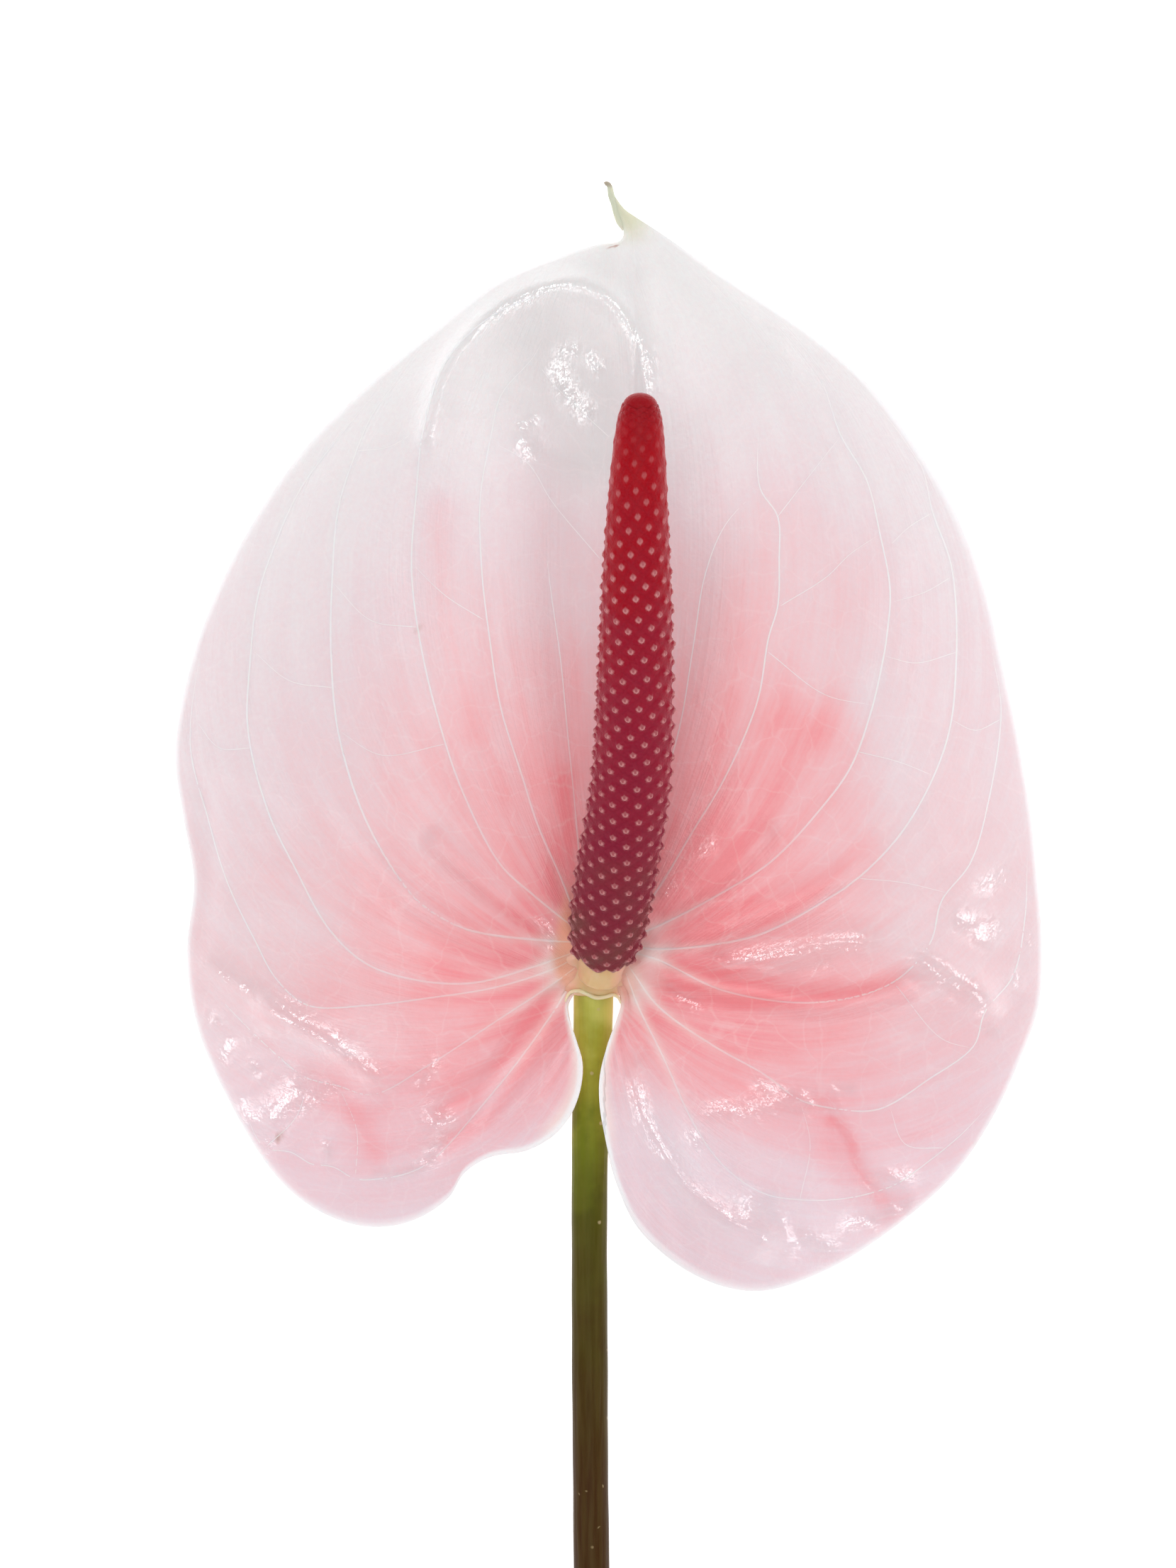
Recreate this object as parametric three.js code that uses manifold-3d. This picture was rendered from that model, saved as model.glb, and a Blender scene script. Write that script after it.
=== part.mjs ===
// A cut anthurium flower lying face up: its stem, its heart-shaped spathe and its spadix.
//
// Millimetres, +Z up, +Y from the cut end of the stem to the tail of the spathe. The flower is drawn about its
// junction, the point where stem, spathe and spadix meet, at x = y = z = 0. At the end the whole group is moved
// so that its origin is the bottom centre of its box.

import * as THREE from 'three';
import { mergeVertices } from 'three/addons/utils/BufferGeometryUtils.js';
import Module from 'manifold-3d';

// ---------------------------------------------------------------- driving dimensions

const SURFACE_Z = -12; // height of the surface that the flower lies on
const SEAT_GAP = 0.3; // clearance between the three grown-together pieces
const POINT_MERGE = 1e-4; // points closer than this are one
const RIB_MERGE = 1e-3; // the same for the two halves of the blade, which meet along the midrib

const BLADE_THICKNESS = 0.8;
const BLADE_CROWN = 0.085; // rise of the blade between midrib and margin, as a share of that distance
const MARGIN_ROLL = 2.6; // power by which the blade falls from its crown to its margin
const RAY_SPACING = 5.2; // widest gap between two rays at the margin
const RAY_STEPS = 10; // facets from midrib to margin

const STEM_SIDES = 14;
const STEM_RINGS = 26;
const STEM_RING_CROWDING = 1.4; // power that crowds the rings towards the collar, where the stem bends most
const STEM_TOP_RADIUS = 2.7;
const STEM_RADIUS = 2.52;
const STEM_CUT_RADIUS = 2.8;
const STEM_CUT_Y = -380;
const STEM_CUT_SLANT = 0.6; // how far the slanted cut runs back for each millimetre of height

const FLORET_AREA = 4.1; // skin that one floret covers at the foot of the spadix
const FLORET_AREA_TIP = 5.0; // and near its tip, before the florets die out
const FLORET_TURN = THREE.MathUtils.degToRad(227.62); // angle from one floret to the next along the spiral
const SPIRAL_LEFT = 8; // neighbours up the spiral: the 8th floret lies up and left, the 11th up and right
const SPIRAL_RIGHT = 11;
const FIRST_FLORET = 0.9; // distance along the axis of the first corner, and of the last possible one
const LAST_FLORET = 84.2;
const FLORETS_SHRINK = { from: 76, to: 83.5, by: 0.86 }; // the florets dwindle over the tip
const NARROWEST_SPIRAL = 1.6; // radius below which the florets stop spreading along the axis
const GROOVE_DEPTH = 0.1; // of the corners where four florets meet
const PAD_SHARE = 0.4; // how far the raised pad of a floret reaches from its stigma to its corners
const PAD_HEIGHT = 0.16; // of the pad, as a share of the stigma's height
const STIGMA_HEIGHT = 0.75;
const STIGMAS_FADE = { from: 45, to: 84, by: 0.9 }; // the stigmas sink towards the tip
const SEAT_REACH = [0, 0.4, 1.0, 2.2, 4.2, 7.5, 11, 15]; // stretch of the spadix that the stipe must clear
const SEAT_FOOT_RADIUS = 1.2;

// ---------------------------------------------------------------- outline of the spathe

// Rays of the upper blade leave the midrib in pairs. Each row holds a point on the midrib and the two points of
// the margin that its rays reach, as x, y, z on the upper face. The first row is the end of the tail.
const BLADE_PAIRS = [
  { rib: [0.4, 113.5, -2.5], left: [0.4, 113.5, -2.5], right: [0.4, 113.5, -2.5] },
  { rib: [1.0, 111.8, -3.2], left: [0.5, 111.8, -3.3], right: [1.5, 111.9, -3.3] },
  { rib: [2.1, 109.9, -4.1], left: [1.5, 109.7, -4.3], right: [2.8, 110.2, -4.3] },
  { rib: [3.4, 107.9, -5.0], left: [2.7, 107.2, -5.3], right: [4.7, 108.9, -5.2] },
  { rib: [3.9, 105.9, -5.4], left: [2.2, 105.8, -5.9], right: [7.7, 107.0, -5.8] },
  { rib: [4.2, 103.3, -5.6], left: [-0.8, 105.3, -6.3], right: [11.2, 104.6, -6.3] },
  { rib: [4.3, 99.5, -4.8], left: [-6.6, 103.5, -6.7], right: [15.2, 101.8, -6.6] },
  { rib: [4.4, 94.0, -3.8], left: [-15.3, 99.8, -7.4], right: [21.5, 97.7, -7.2] },
  { rib: [4.4, 86.5, -2.7], left: [-23.6, 93.5, -8.2], right: [29.2, 92.5, -7.8] },
  { rib: [4.4, 77.5, -1.7], left: [-33.4, 85.5, -9.2], right: [37.3, 85.5, -8.5] },
  { rib: [4.3, 67.5, -0.9], left: [-41.6, 77.5, -10.0], right: [44.2, 76.5, -9.2] },
  { rib: [4.0, 56.5, -0.4], left: [-48.3, 68.5, -10.7], right: [49.9, 67.0, -9.9] },
  { rib: [3.6, 45.5, 0.0], left: [-54.1, 58.0, -11.2], right: [53.9, 56.5, -10.6] },
  { rib: [2.9, 34.5, 0.2], left: [-58.5, 46.5, -11.5], right: [56.6, 45.0, -11.1] },
  { rib: [2.1, 24.5, 0.2], left: [-60.9, 33.5, -11.7], right: [58.7, 35.0, -11.5] },
  { rib: [1.2, 15.5, 0.1], left: [-59.8, 24.5, -10.9], right: [60.4, 25.0, -11.7] },
  { rib: [0.4, 8.5, -0.1], left: [-58.2, 15.0, -9.2], right: [61.3, 16.0, -11.2] },
  { rib: [0.0, 4.5, -0.4], left: [-59.2, 5.0, -9.9], right: [62.0, 6.5, -10.4] },
];

// Rays of the two lobes leave the foot of the midrib, or a "root" below it that is buried in the collar. They
// bend round the lobe through the pull of "bend", and the last ones end on the edge of the cleft over the stem.
const LEFT_LOBE = [
  { edge: [-57.7, -5.5, -9.6], bend: [-28.9, 2.0] },
  { edge: [-53.2, -16.0, -8.9], bend: [-28.0, -0.8] },
  { edge: [-46.6, -26.5, -8.3], bend: [-27.3, -3.2] },
  { edge: [-41.3, -31.1, -7.9], bend: [-26.8, -4.4] },
  { edge: [-34.4, -33.7, -7.3], bend: [-25.6, -5.2] },
  { edge: [-27.7, -33.1, -6.3], bend: [-23.0, -4.8] },
  { edge: [-22.1, -29.7, -5.0], bend: [-20.4, -4.2], root: [-0.3, 4.2] },
  { edge: [-19.8, -26.1, -3.8], bend: [-18.8, -3.8], root: [-0.6, 3.9] },
  { edge: [-16.3, -23.9, -3.4], bend: [-17.2, -3.4], root: [-0.9, 3.6] },
  { edge: [-10.7, -22.8, -2.4], bend: [-15.7, -3.0], root: [-1.2, 3.3] },
  { edge: [-6.3, -19.9, -0.6], bend: [-14.2, -2.6], root: [-1.5, 3.0] },
  { edge: [-3.9, -15.7, 1.0], bend: [-12.6, -2.2], root: [-1.9, 2.6] },
  { edge: [-3.2, -11.0, 2.0], bend: [-10.9, -1.7], root: [-2.3, 2.2] },
  { edge: [-4.0, -7.3, 2.0], bend: [-9.3, -1.1], root: [-2.7, 1.8] },
  { edge: [-5.0, -4.2, 1.2], bend: [-7.6, -0.3], root: [-3.0, 1.5] },
  { edge: [-5.3, -2.2, 0.7], bend: [-5.9, 0.1], root: [-3.3, 1.2] },
  { edge: [-4.7, -0.8, 0.4], bend: [-4.6, 0.3], root: [-3.5, 1.0] },
  { edge: [-3.7, 0.8, -0.1], bend: [-3.7, 0.8], root: [-3.7, 0.8] },
];
const RIGHT_LOBE = [
  { edge: [61.5, -2.5, -9.7], bend: [30.7, 2.5] },
  { edge: [58.7, -10.5, -9.2], bend: [29.5, 0.5] },
  { edge: [54.9, -18.5, -8.8], bend: [28.0, -2.0] },
  { edge: [49.4, -26.5, -8.3], bend: [27.0, -5.0] },
  { edge: [40.2, -34.5, -7.9], bend: [26.0, -8.2] },
  { edge: [31.2, -40.0, -7.3], bend: [25.4, -10.8] },
  { edge: [21.7, -42.9, -6.4], bend: [24.6, -12.7] },
  { edge: [13.2, -40.8, -4.8], bend: [21.0, -11.2], root: [0.1, 4.3] },
  { edge: [5.2, -34.5, -2.4], bend: [16.8, -8.9], root: [0.25, 4.0] },
  { edge: [2.0, -28.5, -0.5], bend: [14.0, -7.3], root: [0.4, 3.7] },
  { edge: [0.3, -22.0, 1.0], bend: [11.3, -5.7], root: [0.6, 3.3] },
  { edge: [-0.7, -16.5, 2.0], bend: [9.2, -4.2], root: [0.8, 2.9] },
  { edge: [-0.7, -12.3, 2.4], bend: [7.5, -3.0], root: [1.0, 2.5] },
  { edge: [0.4, -7.8, 1.8], bend: [6.2, -2.0], root: [1.2, 2.1] },
  { edge: [1.7, -4.2, 1.0], bend: [5.0, -0.9], root: [1.4, 1.7] },
  { edge: [2.3, -2.2, 0.5], bend: [3.7, 0.1], root: [1.6, 1.3] },
  { edge: [2.3, -0.9, 0.3], bend: [2.5, 0.4], root: [1.75, 1.05] },
  { edge: [1.9, 0.8, -0.1], bend: [1.9, 0.8], root: [1.9, 0.8] },
];

// Ridges, folds and hollows of the blade: each is a soft stroke along a path, "rise" high and "width" across
// from its crest to where it has all but faded.
const BLADE_FOLDS = [
  { path: [[-24.8, 77.5], [-22.3, 87.5], [-17.3, 94.5], [-11.3, 98.5], [-4.3, 99.5], [2.7, 95.5], [5.7, 84.5]],
    rise: 1.5, width: 4.6 },
  { path: [[-8.0, 84.0], [-6.0, 78.0]], rise: -2.2, width: 13 },
  { path: [[17.7, 4.0], [24.7, 6.0], [34.7, 7.0], [43.7, 5.0], [50.7, 1.5], [54.0, -1.5]],
    rise: 2.0, width: 5.0 },
  { path: [[8.7, 2.0], [19.7, 0.3], [29.7, -1.7], [38.7, -0.8], [43.0, 0.8]], rise: -2.0, width: 4.6 },
  { path: [[4.7, 6.5], [14.7, 8.5], [24.7, 12.0], [32.7, 16.0]], rise: -1.2, width: 4.0 },
  { path: [[7.7, 10.5], [15.7, 15.5], [22.7, 21.5]], rise: -0.9, width: 3.6 },
  { path: [[-47.3, -3.5], [-39.3, -6.5], [-32.3, -11.5]], rise: 1.5, width: 6.0 },
  { path: [[-6.3, -0.5], [-11.3, -7.5], [-17.3, -13.5], [-22.3, -16.5]], rise: -1.5, width: 3.8 },
  { path: [[-7.5, -5.5], [-11.3, -11.5], [-18.3, -18.5], [-23.3, -22.5]], rise: -1.2, width: 3.4 },
  { path: [[-5.3, 4.5], [-9.3, 9.5], [-15.3, 13.5], [-23.3, 20.5]], rise: -1.2, width: 4.0 },
  { path: [[-9.3, 5.0], [-18.3, 7.5], [-28.3, 13.5], [-36.3, 24.5]], rise: -1.0, width: 4.4 },
  { path: [[4.7, -12.5], [6.7, -19.5], [9.7, -25.5], [14.7, -30.5], [21.7, -35.5]], rise: 1.6, width: 5.6 },
  { path: [[29.7, -16.5], [34.7, -25.5], [39.7, -30.5]], rise: -1.2, width: 5.0 },
];

// ---------------------------------------------------------------- collar, stem and spadix

// The collar clasps the top of the stem: radius and y of its profile, about a line through COLLAR_CENTRE.
const COLLAR_CENTRE = new THREE.Vector3(-1.55, 0, -3.65);
const COLLAR_PROFILE = [
  [0, -0.9], [3.3, -0.9], [3.75, -0.5], [4.2, 0.8], [4.7, 2.6], [4.6, 4.6], [3.9, 6.8], [2.4, 8.6], [0, 9.4],
];
const COLLAR_SIDES = 24;

// The node is the swelling at the front of the collar, into which the two sides of the cleft run.
const NODE_CENTRE = new THREE.Vector3(-0.9, 3.6, -1.6);
const NODE_RADII = new THREE.Vector3(5.2, 4.6, 3.9);
const NODE_RINGS = 12;

// The stipe is the short cream foot that carries the spadix: radius at each distance along the spadix's axis.
const STIPE_PROFILE = [[0, -4.5], [3.0, -4.5], [3.2, -1.4], [3.6, 0.6], [0, 0.6]];

const STEM_PATH = [
  [-1.55, 3.4, -3.65], [-1.6, -3, -3.7], [-2.1, -25, -4.0], [-2.1, -50, -4.4], [-1.8, -85, -5.0],
  [-0.4, -150, -6.1], [2.8, -250, -7.7], [6.0, -330, -8.8], [8.5, STEM_CUT_Y, 0],
];

const SPADIX_PATH = [
  [-0.3, 4.4, 3.4], [1.6, 16.3, 11.1], [3.7, 29.6, 17.8], [4.3, 46.0, 24.4], [4.5, 65.0, 30.0],
  [4.95, 83.2, 33.6],
];
// Distance along the axis and radius there, measured over the stigmas.
const SPADIX_PROFILE = [
  [0, 0], [0.4, 2.6], [1.0, 3.9], [2.2, 4.9], [4.2, 5.6], [7.5, 6.1], [15, 6.3], [28, 6.2], [40, 6.0],
  [50, 5.75], [58, 5.35], [66, 4.75], [74, 4.1], [79, 3.6], [82, 3.15], [84, 2.45], [85.1, 1.5], [85.6, 0],
];

// ---------------------------------------------------------------- helpers

const vector = (values) => new THREE.Vector3(...values);
const curveThrough = (points) => new THREE.CatmullRomCurve3(points.map(vector), false, 'centripetal');
const { clamp, lerp, smoothstep } = THREE.MathUtils;

// The value at x on straight lines between the rows [x, value] of a profile.
function along(profile, x) {
  const next = profile.findIndex(([at]) => at >= x);
  if (next === 0) return profile[0][1];
  if (next < 0) return profile.at(-1)[1];
  const [[x0, v0], [x1, v1]] = [profile[next - 1], profile[next]];
  return lerp(v0, v1, (x - x0) / (x1 - x0));
}

function geometryOf(points, triangles) {
  const geometry = new THREE.BufferGeometry();
  geometry.setAttribute('position', new THREE.Float32BufferAttribute(points.flatMap((p) => p.toArray()), 3));
  geometry.setIndex(triangles.flat());
  return geometry;
}

// A closed skin round a row of rings, with a flat fan over the first and the last.
function loft(rings) {
  const sides = rings[0].length;
  const triangles = [];
  for (let r = 0; r + 1 < rings.length; r += 1) {
    for (let s = 0; s < sides; s += 1) {
      const [a, b] = [r * sides + s, r * sides + ((s + 1) % sides)];
      triangles.push([a, b + sides, b], [a, a + sides, b + sides]);
    }
  }
  const last = (rings.length - 1) * sides;
  for (let s = 1; s + 1 < sides; s += 1) {
    triangles.push([0, s, s + 1], [last, last + s + 1, last + s]);
  }
  return geometryOf(rings.flat(), triangles);
}

// Right, up-facing and forward directions of a curve at a share of its length, and the point there.
function frameAt(curve, share) {
  const forward = curve.getTangentAt(share);
  const face = new THREE.Vector3(0, 0, 1).addScaledVector(forward, -forward.z).normalize();
  const right = forward.clone().cross(face);
  return { point: curve.getPointAt(share), right, face, forward };
}

function ringPoint(frame, radius, angle) {
  return frame.point.clone()
    .addScaledVector(frame.right, radius * Math.cos(angle))
    .addScaledVector(frame.face, radius * Math.sin(angle));
}

const wasm = await Module();
wasm.setup();

function solidOf(geometry) {
  const bare = geometry.clone();
  bare.deleteAttribute('normal');
  bare.deleteAttribute('uv');
  const merged = mergeVertices(bare, POINT_MERGE);
  const index = merged.index.array;
  const kept = [];
  for (let i = 0; i < index.length; i += 3) {
    const [a, b, c] = [index[i], index[i + 1], index[i + 2]];
    if (a !== b && b !== c && c !== a) kept.push(a, b, c);
  }
  return new wasm.Manifold(new wasm.Mesh({
    numProp: 3,
    vertProperties: new Float32Array(merged.attributes.position.array),
    triVerts: new Uint32Array(kept),
  }));
}

function geometryFrom(solid) {
  const mesh = solid.getMesh();
  const geometry = new THREE.BufferGeometry();
  geometry.setAttribute('position', new THREE.Float32BufferAttribute(mesh.vertProperties, 3));
  geometry.setIndex(new THREE.Uint32BufferAttribute(mesh.triVerts, 1));
  return geometry;
}

// ---------------------------------------------------------------- spathe

function distanceToPath(x, y, path) {
  let nearest = Infinity;
  for (let i = 0; i + 1 < path.length; i += 1) {
    const [[ax, ay], [bx, by]] = [path[i], path[i + 1]];
    const [dx, dy] = [bx - ax, by - ay];
    const t = clamp(((x - ax) * dx + (y - ay) * dy) / (dx * dx + dy * dy), 0, 1);
    nearest = Math.min(nearest, Math.hypot(x - ax - t * dx, y - ay - t * dy));
  }
  return nearest;
}

function foldHeight(x, y) {
  return BLADE_FOLDS.reduce((sum, { path, rise, width }) => {
    const off = (2 * distanceToPath(x, y, path)) / width;
    return sum + rise * Math.exp(-(off ** 2));
  }, 0);
}

// One half of the blade's upper face: rows of points from the midrib to the margin.
function halfBlade(side, lobe) {
  const edges = [...BLADE_PAIRS.map((pair) => pair[side]), ...lobe.map((station) => station.edge)];
  const middle = (pair) => [(pair.rib[0] + pair[side][0]) / 2, (pair.rib[1] + pair[side][1]) / 2, 0];
  const bends = [...BLADE_PAIRS.map(middle), ...lobe.map((station) => [...station.bend, 0])];
  const [rib, edge, bend] = [BLADE_PAIRS.map((pair) => pair.rib), edges, bends].map(curveThrough);
  const foot = BLADE_PAIRS.at(-1).rib;
  const roots = [foot, ...lobe.map(({ root = foot }) => [root[0], root[1], foot[2]])].map(vector);

  const stations = [];
  for (let i = 0; i + 1 < edges.length; i += 1) {
    const gaps = i + 1 < BLADE_PAIRS.length
      ? ['left', 'right'].map((s) => vector(BLADE_PAIRS[i][s]).distanceTo(vector(BLADE_PAIRS[i + 1][s])))
      : [vector(edges[i]).distanceTo(vector(edges[i + 1]))];
    const steps = Math.ceil(Math.max(...gaps) / RAY_SPACING);
    for (let s = 0; s < steps; s += 1) stations.push(i + s / steps);
  }
  stations.push(edges.length - 1);

  return stations.map((station) => {
    const past = station - (BLADE_PAIRS.length - 1);
    const from = clamp(Math.floor(past), 0, lobe.length - 1);
    const root = past > 0
      ? roots[from].clone().lerp(roots[from + 1], past - from)
      : rib.getPoint(station / (BLADE_PAIRS.length - 1));
    const [tip, pull] = [edge, bend].map((curve) => curve.getPoint(station / (edges.length - 1)));
    const reach = Math.hypot(tip.x - root.x, tip.y - root.y);
    return Array.from({ length: RAY_STEPS + 1 }, (_, step) => {
      const v = step / RAY_STEPS;
      const [a, b, c] = [(1 - v) ** 2, 2 * v * (1 - v), v ** 2];
      const x = a * root.x + b * pull.x + c * tip.x;
      const y = a * root.y + b * pull.y + c * tip.y;
      const crown = BLADE_CROWN * reach * 4 * v * (1 - v);
      const z = lerp(root.z, tip.z, v ** MARGIN_ROLL) + crown + foldHeight(x, y);
      return new THREE.Vector3(x, y, z);
    });
  });
}

// The upper face of the whole blade, its vertices merged along the midrib.
function bladeFace() {
  const points = [];
  const triangles = [];
  const halves = [{ rows: halfBlade('left', LEFT_LOBE), turned: true },
    { rows: halfBlade('right', RIGHT_LOBE), turned: false }];
  for (const { rows, turned } of halves) {
    const start = points.length;
    points.push(...rows.flat());
    for (let i = 0; i + 1 < rows.length; i += 1) {
      for (let j = 0; j < RAY_STEPS; j += 1) {
        const a = start + i * (RAY_STEPS + 1) + j;
        const [b, c, d] = [a + 1, a + RAY_STEPS + 1, a + RAY_STEPS + 2];
        triangles.push(...(turned ? [[a, b, c], [b, d, c]] : [[a, c, b], [b, c, d]]));
      }
    }
  }
  const face = mergeVertices(geometryOf(points, triangles), RIB_MERGE);
  const index = [];
  for (let i = 0; i < face.index.count; i += 3) {
    const [a, b, c] = [0, 1, 2].map((k) => face.index.getX(i + k));
    if (a !== b && b !== c && c !== a) index.push(a, b, c);
  }
  face.setIndex(index);
  face.computeVertexNormals();
  return face;
}

// The blade as a solid: its face, the same triangles again one thickness below, and a rim between them.
// Where the margin meets the surface it lies flat on it.
function bladeSolid() {
  const face = bladeFace();
  const { position, normal } = face.attributes;
  const count = position.count;
  const upper = [];
  const lower = [];
  for (let i = 0; i < count; i += 1) {
    const front = new THREE.Vector3().fromBufferAttribute(position, i);
    const outwards = new THREE.Vector3().fromBufferAttribute(normal, i);
    const back = front.clone().addScaledVector(outwards, -BLADE_THICKNESS);
    front.z = Math.max(front.z, SURFACE_Z + BLADE_THICKNESS);
    back.z = Math.max(back.z, SURFACE_Z);
    upper.push(front);
    lower.push(back);
  }
  const triangles = [];
  const open = new Map();
  for (let i = 0; i < face.index.count; i += 3) {
    const [a, b, c] = [0, 1, 2].map((k) => face.index.getX(i + k));
    triangles.push([a, b, c], [count + a, count + c, count + b]);
    for (const [from, to] of [[a, b], [b, c], [c, a]]) {
      if (!open.delete(`${to},${from}`)) open.set(`${from},${to}`, [from, to]);
    }
  }
  for (const [from, to] of open.values()) {
    triangles.push([to, from, count + from], [to, count + from, count + to]);
  }
  return solidOf(geometryOf([...upper, ...lower], triangles));
}

function collarSolid() {
  const profile = COLLAR_PROFILE.map(([radius, y]) => new THREE.Vector2(radius, y));
  const collar = new THREE.LatheGeometry(profile, COLLAR_SIDES);
  return solidOf(collar.translate(...COLLAR_CENTRE.toArray()));
}

function nodeSolid() {
  const node = new THREE.SphereGeometry(1, COLLAR_SIDES, NODE_RINGS);
  return solidOf(node.scale(...NODE_RADII.toArray()).translate(...NODE_CENTRE.toArray()));
}

function stipeSolid(spadixCurve) {
  const profile = STIPE_PROFILE.map(([radius, y]) => new THREE.Vector2(radius, y));
  const stipe = new THREE.LatheGeometry(profile, COLLAR_SIDES);
  const { point, forward } = frameAt(spadixCurve, 0);
  stipe.applyQuaternion(new THREE.Quaternion().setFromUnitVectors(new THREE.Vector3(0, 1, 0), forward));
  return solidOf(stipe.translate(...point.toArray()));
}

function makeSpathe() {
  const spadixCurve = curveThrough(SPADIX_PATH);
  const grown = bladeSolid().add(collarSolid()).add(nodeSolid()).add(stipeSolid(spadixCurve));
  const seated = grown.subtract(solidOf(stemGeometry(SEAT_GAP))).subtract(spadixSeat(spadixCurve));
  const bodies = solidOf(geometryFrom(seated)).decompose().sort((a, b) => b.volume() - a.volume());
  return geometryFrom(bodies[0]);
}

// ---------------------------------------------------------------- stem

const STEM_THICKNESS = [
  [0, STEM_TOP_RADIUS], [0.02, STEM_TOP_RADIUS], [0.08, STEM_RADIUS], [0.8, STEM_RADIUS], [1, STEM_CUT_RADIUS],
];

// A tapering tube with its lowest facet flat on the surface at the slanted cut. "grow" swells it all round.
function stemGeometry(grow = 0) {
  const flat = Math.cos(Math.PI / STEM_SIDES);
  const path = STEM_PATH.map((point) => [...point]);
  path.at(-1)[2] = SURFACE_Z + STEM_CUT_RADIUS * flat;
  const curve = curveThrough(path);
  const rings = [];
  for (let r = 0; r <= STEM_RINGS; r += 1) {
    const share = (r / STEM_RINGS) ** STEM_RING_CROWDING;
    const radius = along(STEM_THICKNESS, share) + grow;
    const frame = frameAt(curve, share);
    const slant = r === STEM_RINGS ? STEM_CUT_SLANT : 0;
    rings.push(Array.from({ length: STEM_SIDES }, (_, s) => {
      const angle = (2 * Math.PI * (s + 0.5)) / STEM_SIDES - Math.PI / 2;
      const point = ringPoint(frame, radius, angle);
      return point.addScaledVector(frame.forward, -slant * radius * Math.sin(angle));
    }));
  }
  for (const point of rings[0]) point.y += grow;
  return loft(rings);
}

// ---------------------------------------------------------------- spadix

const SPADIX_LENGTH = SPADIX_PROFILE.at(-1)[0];
const fading = (distance, { from, to, by }) => 1 - by * smoothstep(distance, from, to);
const stigmaAt = (distance) => STIGMA_HEIGHT * fading(distance, STIGMAS_FADE);
const skinRadius = (distance) => Math.max(along(SPADIX_PROFILE, distance) - stigmaAt(distance), 0);

// Distance of each floret's corner along the axis, each at the step that gives the florets their area.
function floretDistances() {
  const distances = [];
  let distance = FIRST_FLORET;
  while (distance < LAST_FLORET) {
    distances.push(distance);
    const whole = lerp(FLORET_AREA, FLORET_AREA_TIP, distance / SPADIX_LENGTH);
    const area = whole * fading(distance, FLORETS_SHRINK);
    distance += area / (2 * Math.PI * Math.max(skinRadius(distance), NARROWEST_SPIRAL));
  }
  return distances;
}

// Each floret is a four-cornered cell of the spiral lattice: low corners, a raised pad and the stigma on it.
function makeSpadix() {
  const curve = curveThrough(SPADIX_PATH);
  const length = curve.getLength();
  const distances = floretDistances();
  const total = distances.length;
  const around = SPIRAL_LEFT + SPIRAL_RIGHT;
  const at = (distance, angle, lift) => {
    const frame = frameAt(curve, clamp(distance / length, 0, 1));
    return ringPoint(frame, skinRadius(distance) + lift, angle);
  };
  const turn = (steps) => {
    const angle = (steps * FLORET_TURN) % (2 * Math.PI);
    return angle > Math.PI ? angle - 2 * Math.PI : angle;
  };

  const points = distances.map((distance, k) => at(distance, k * FLORET_TURN, -GROOVE_DEPTH));
  const triangles = [];
  for (let k = around; k < total; k += 1) {
    const corners = [k, k - SPIRAL_RIGHT, k - around, k - SPIRAL_LEFT];
    const middleAngle = k * FLORET_TURN - (turn(SPIRAL_LEFT) + turn(SPIRAL_RIGHT)) / 2;
    const middleDistance = (distances[k] + distances[k - around]) / 2;
    const stigma = stigmaAt(middleDistance);
    const top = points.push(at(middleDistance, middleAngle, stigma)) - 1;
    const pad = corners.map((corner, side) => {
      const from = [0, -turn(SPIRAL_RIGHT), -turn(around), -turn(SPIRAL_LEFT)][side];
      const angle = lerp(middleAngle, k * FLORET_TURN + from, PAD_SHARE);
      const reach = lerp(middleDistance, distances[corner], PAD_SHARE);
      return points.push(at(reach, angle, stigma * PAD_HEIGHT)) - 1;
    });
    corners.forEach((corner, side) => {
      const next = (side + 1) % 4;
      triangles.push([corner, corners[next], pad[next]], [corner, pad[next], pad[side]]);
      triangles.push([pad[side], pad[next], top]);
    });
  }

  const foot = points.push(curve.getPoint(0)) - 1;
  const tip = points.push(at(SPADIX_LENGTH, 0, 0)) - 1;
  for (let i = 0; i < around; i += 1) {
    const above = i < SPIRAL_RIGHT ? i + SPIRAL_LEFT : i - SPIRAL_RIGHT;
    triangles.push([foot, i, above]);
    triangles.push([tip, total - 1 - i, total - 1 - above]);
  }
  return geometryOf(points, triangles);
}

// The space that the foot of the spadix needs in the stipe.
function spadixSeat(curve) {
  const length = curve.getLength();
  const back = frameAt(curve, 0).forward.multiplyScalar(-SEAT_GAP);
  const rings = SEAT_REACH.map((distance) => {
    const frame = frameAt(curve, distance / length);
    frame.point.add(back);
    const radius = Math.max(along(SPADIX_PROFILE, distance), SEAT_FOOT_RADIUS) + SEAT_GAP;
    const side = (_, s) => ringPoint(frame, radius, (2 * Math.PI * s) / COLLAR_SIDES);
    return Array.from({ length: COLLAR_SIDES }, side);
  });
  return solidOf(loft(rings));
}

// ---------------------------------------------------------------- the flower

function namedMesh(name, geometry, color, roughness) {
  const mesh = new THREE.Mesh(geometry, new THREE.MeshStandardMaterial({ color, roughness, metalness: 0 }));
  mesh.name = name;
  return mesh;
}

const flower = new THREE.Group();
flower.add(namedMesh('stem', stemGeometry(), 0x5d5420, 0.5));
flower.add(namedMesh('spathe', makeSpathe(), 0xedc6ca, 0.3));
flower.add(namedMesh('spadix', makeSpadix(), 0x9c2b38, 0.45));

const box = new THREE.Box3().setFromObject(flower);
const middle = box.getCenter(new THREE.Vector3());
flower.position.set(-middle.x, -middle.y, -box.min.z);
flower.updateMatrixWorld(true);

export default flower;
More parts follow.
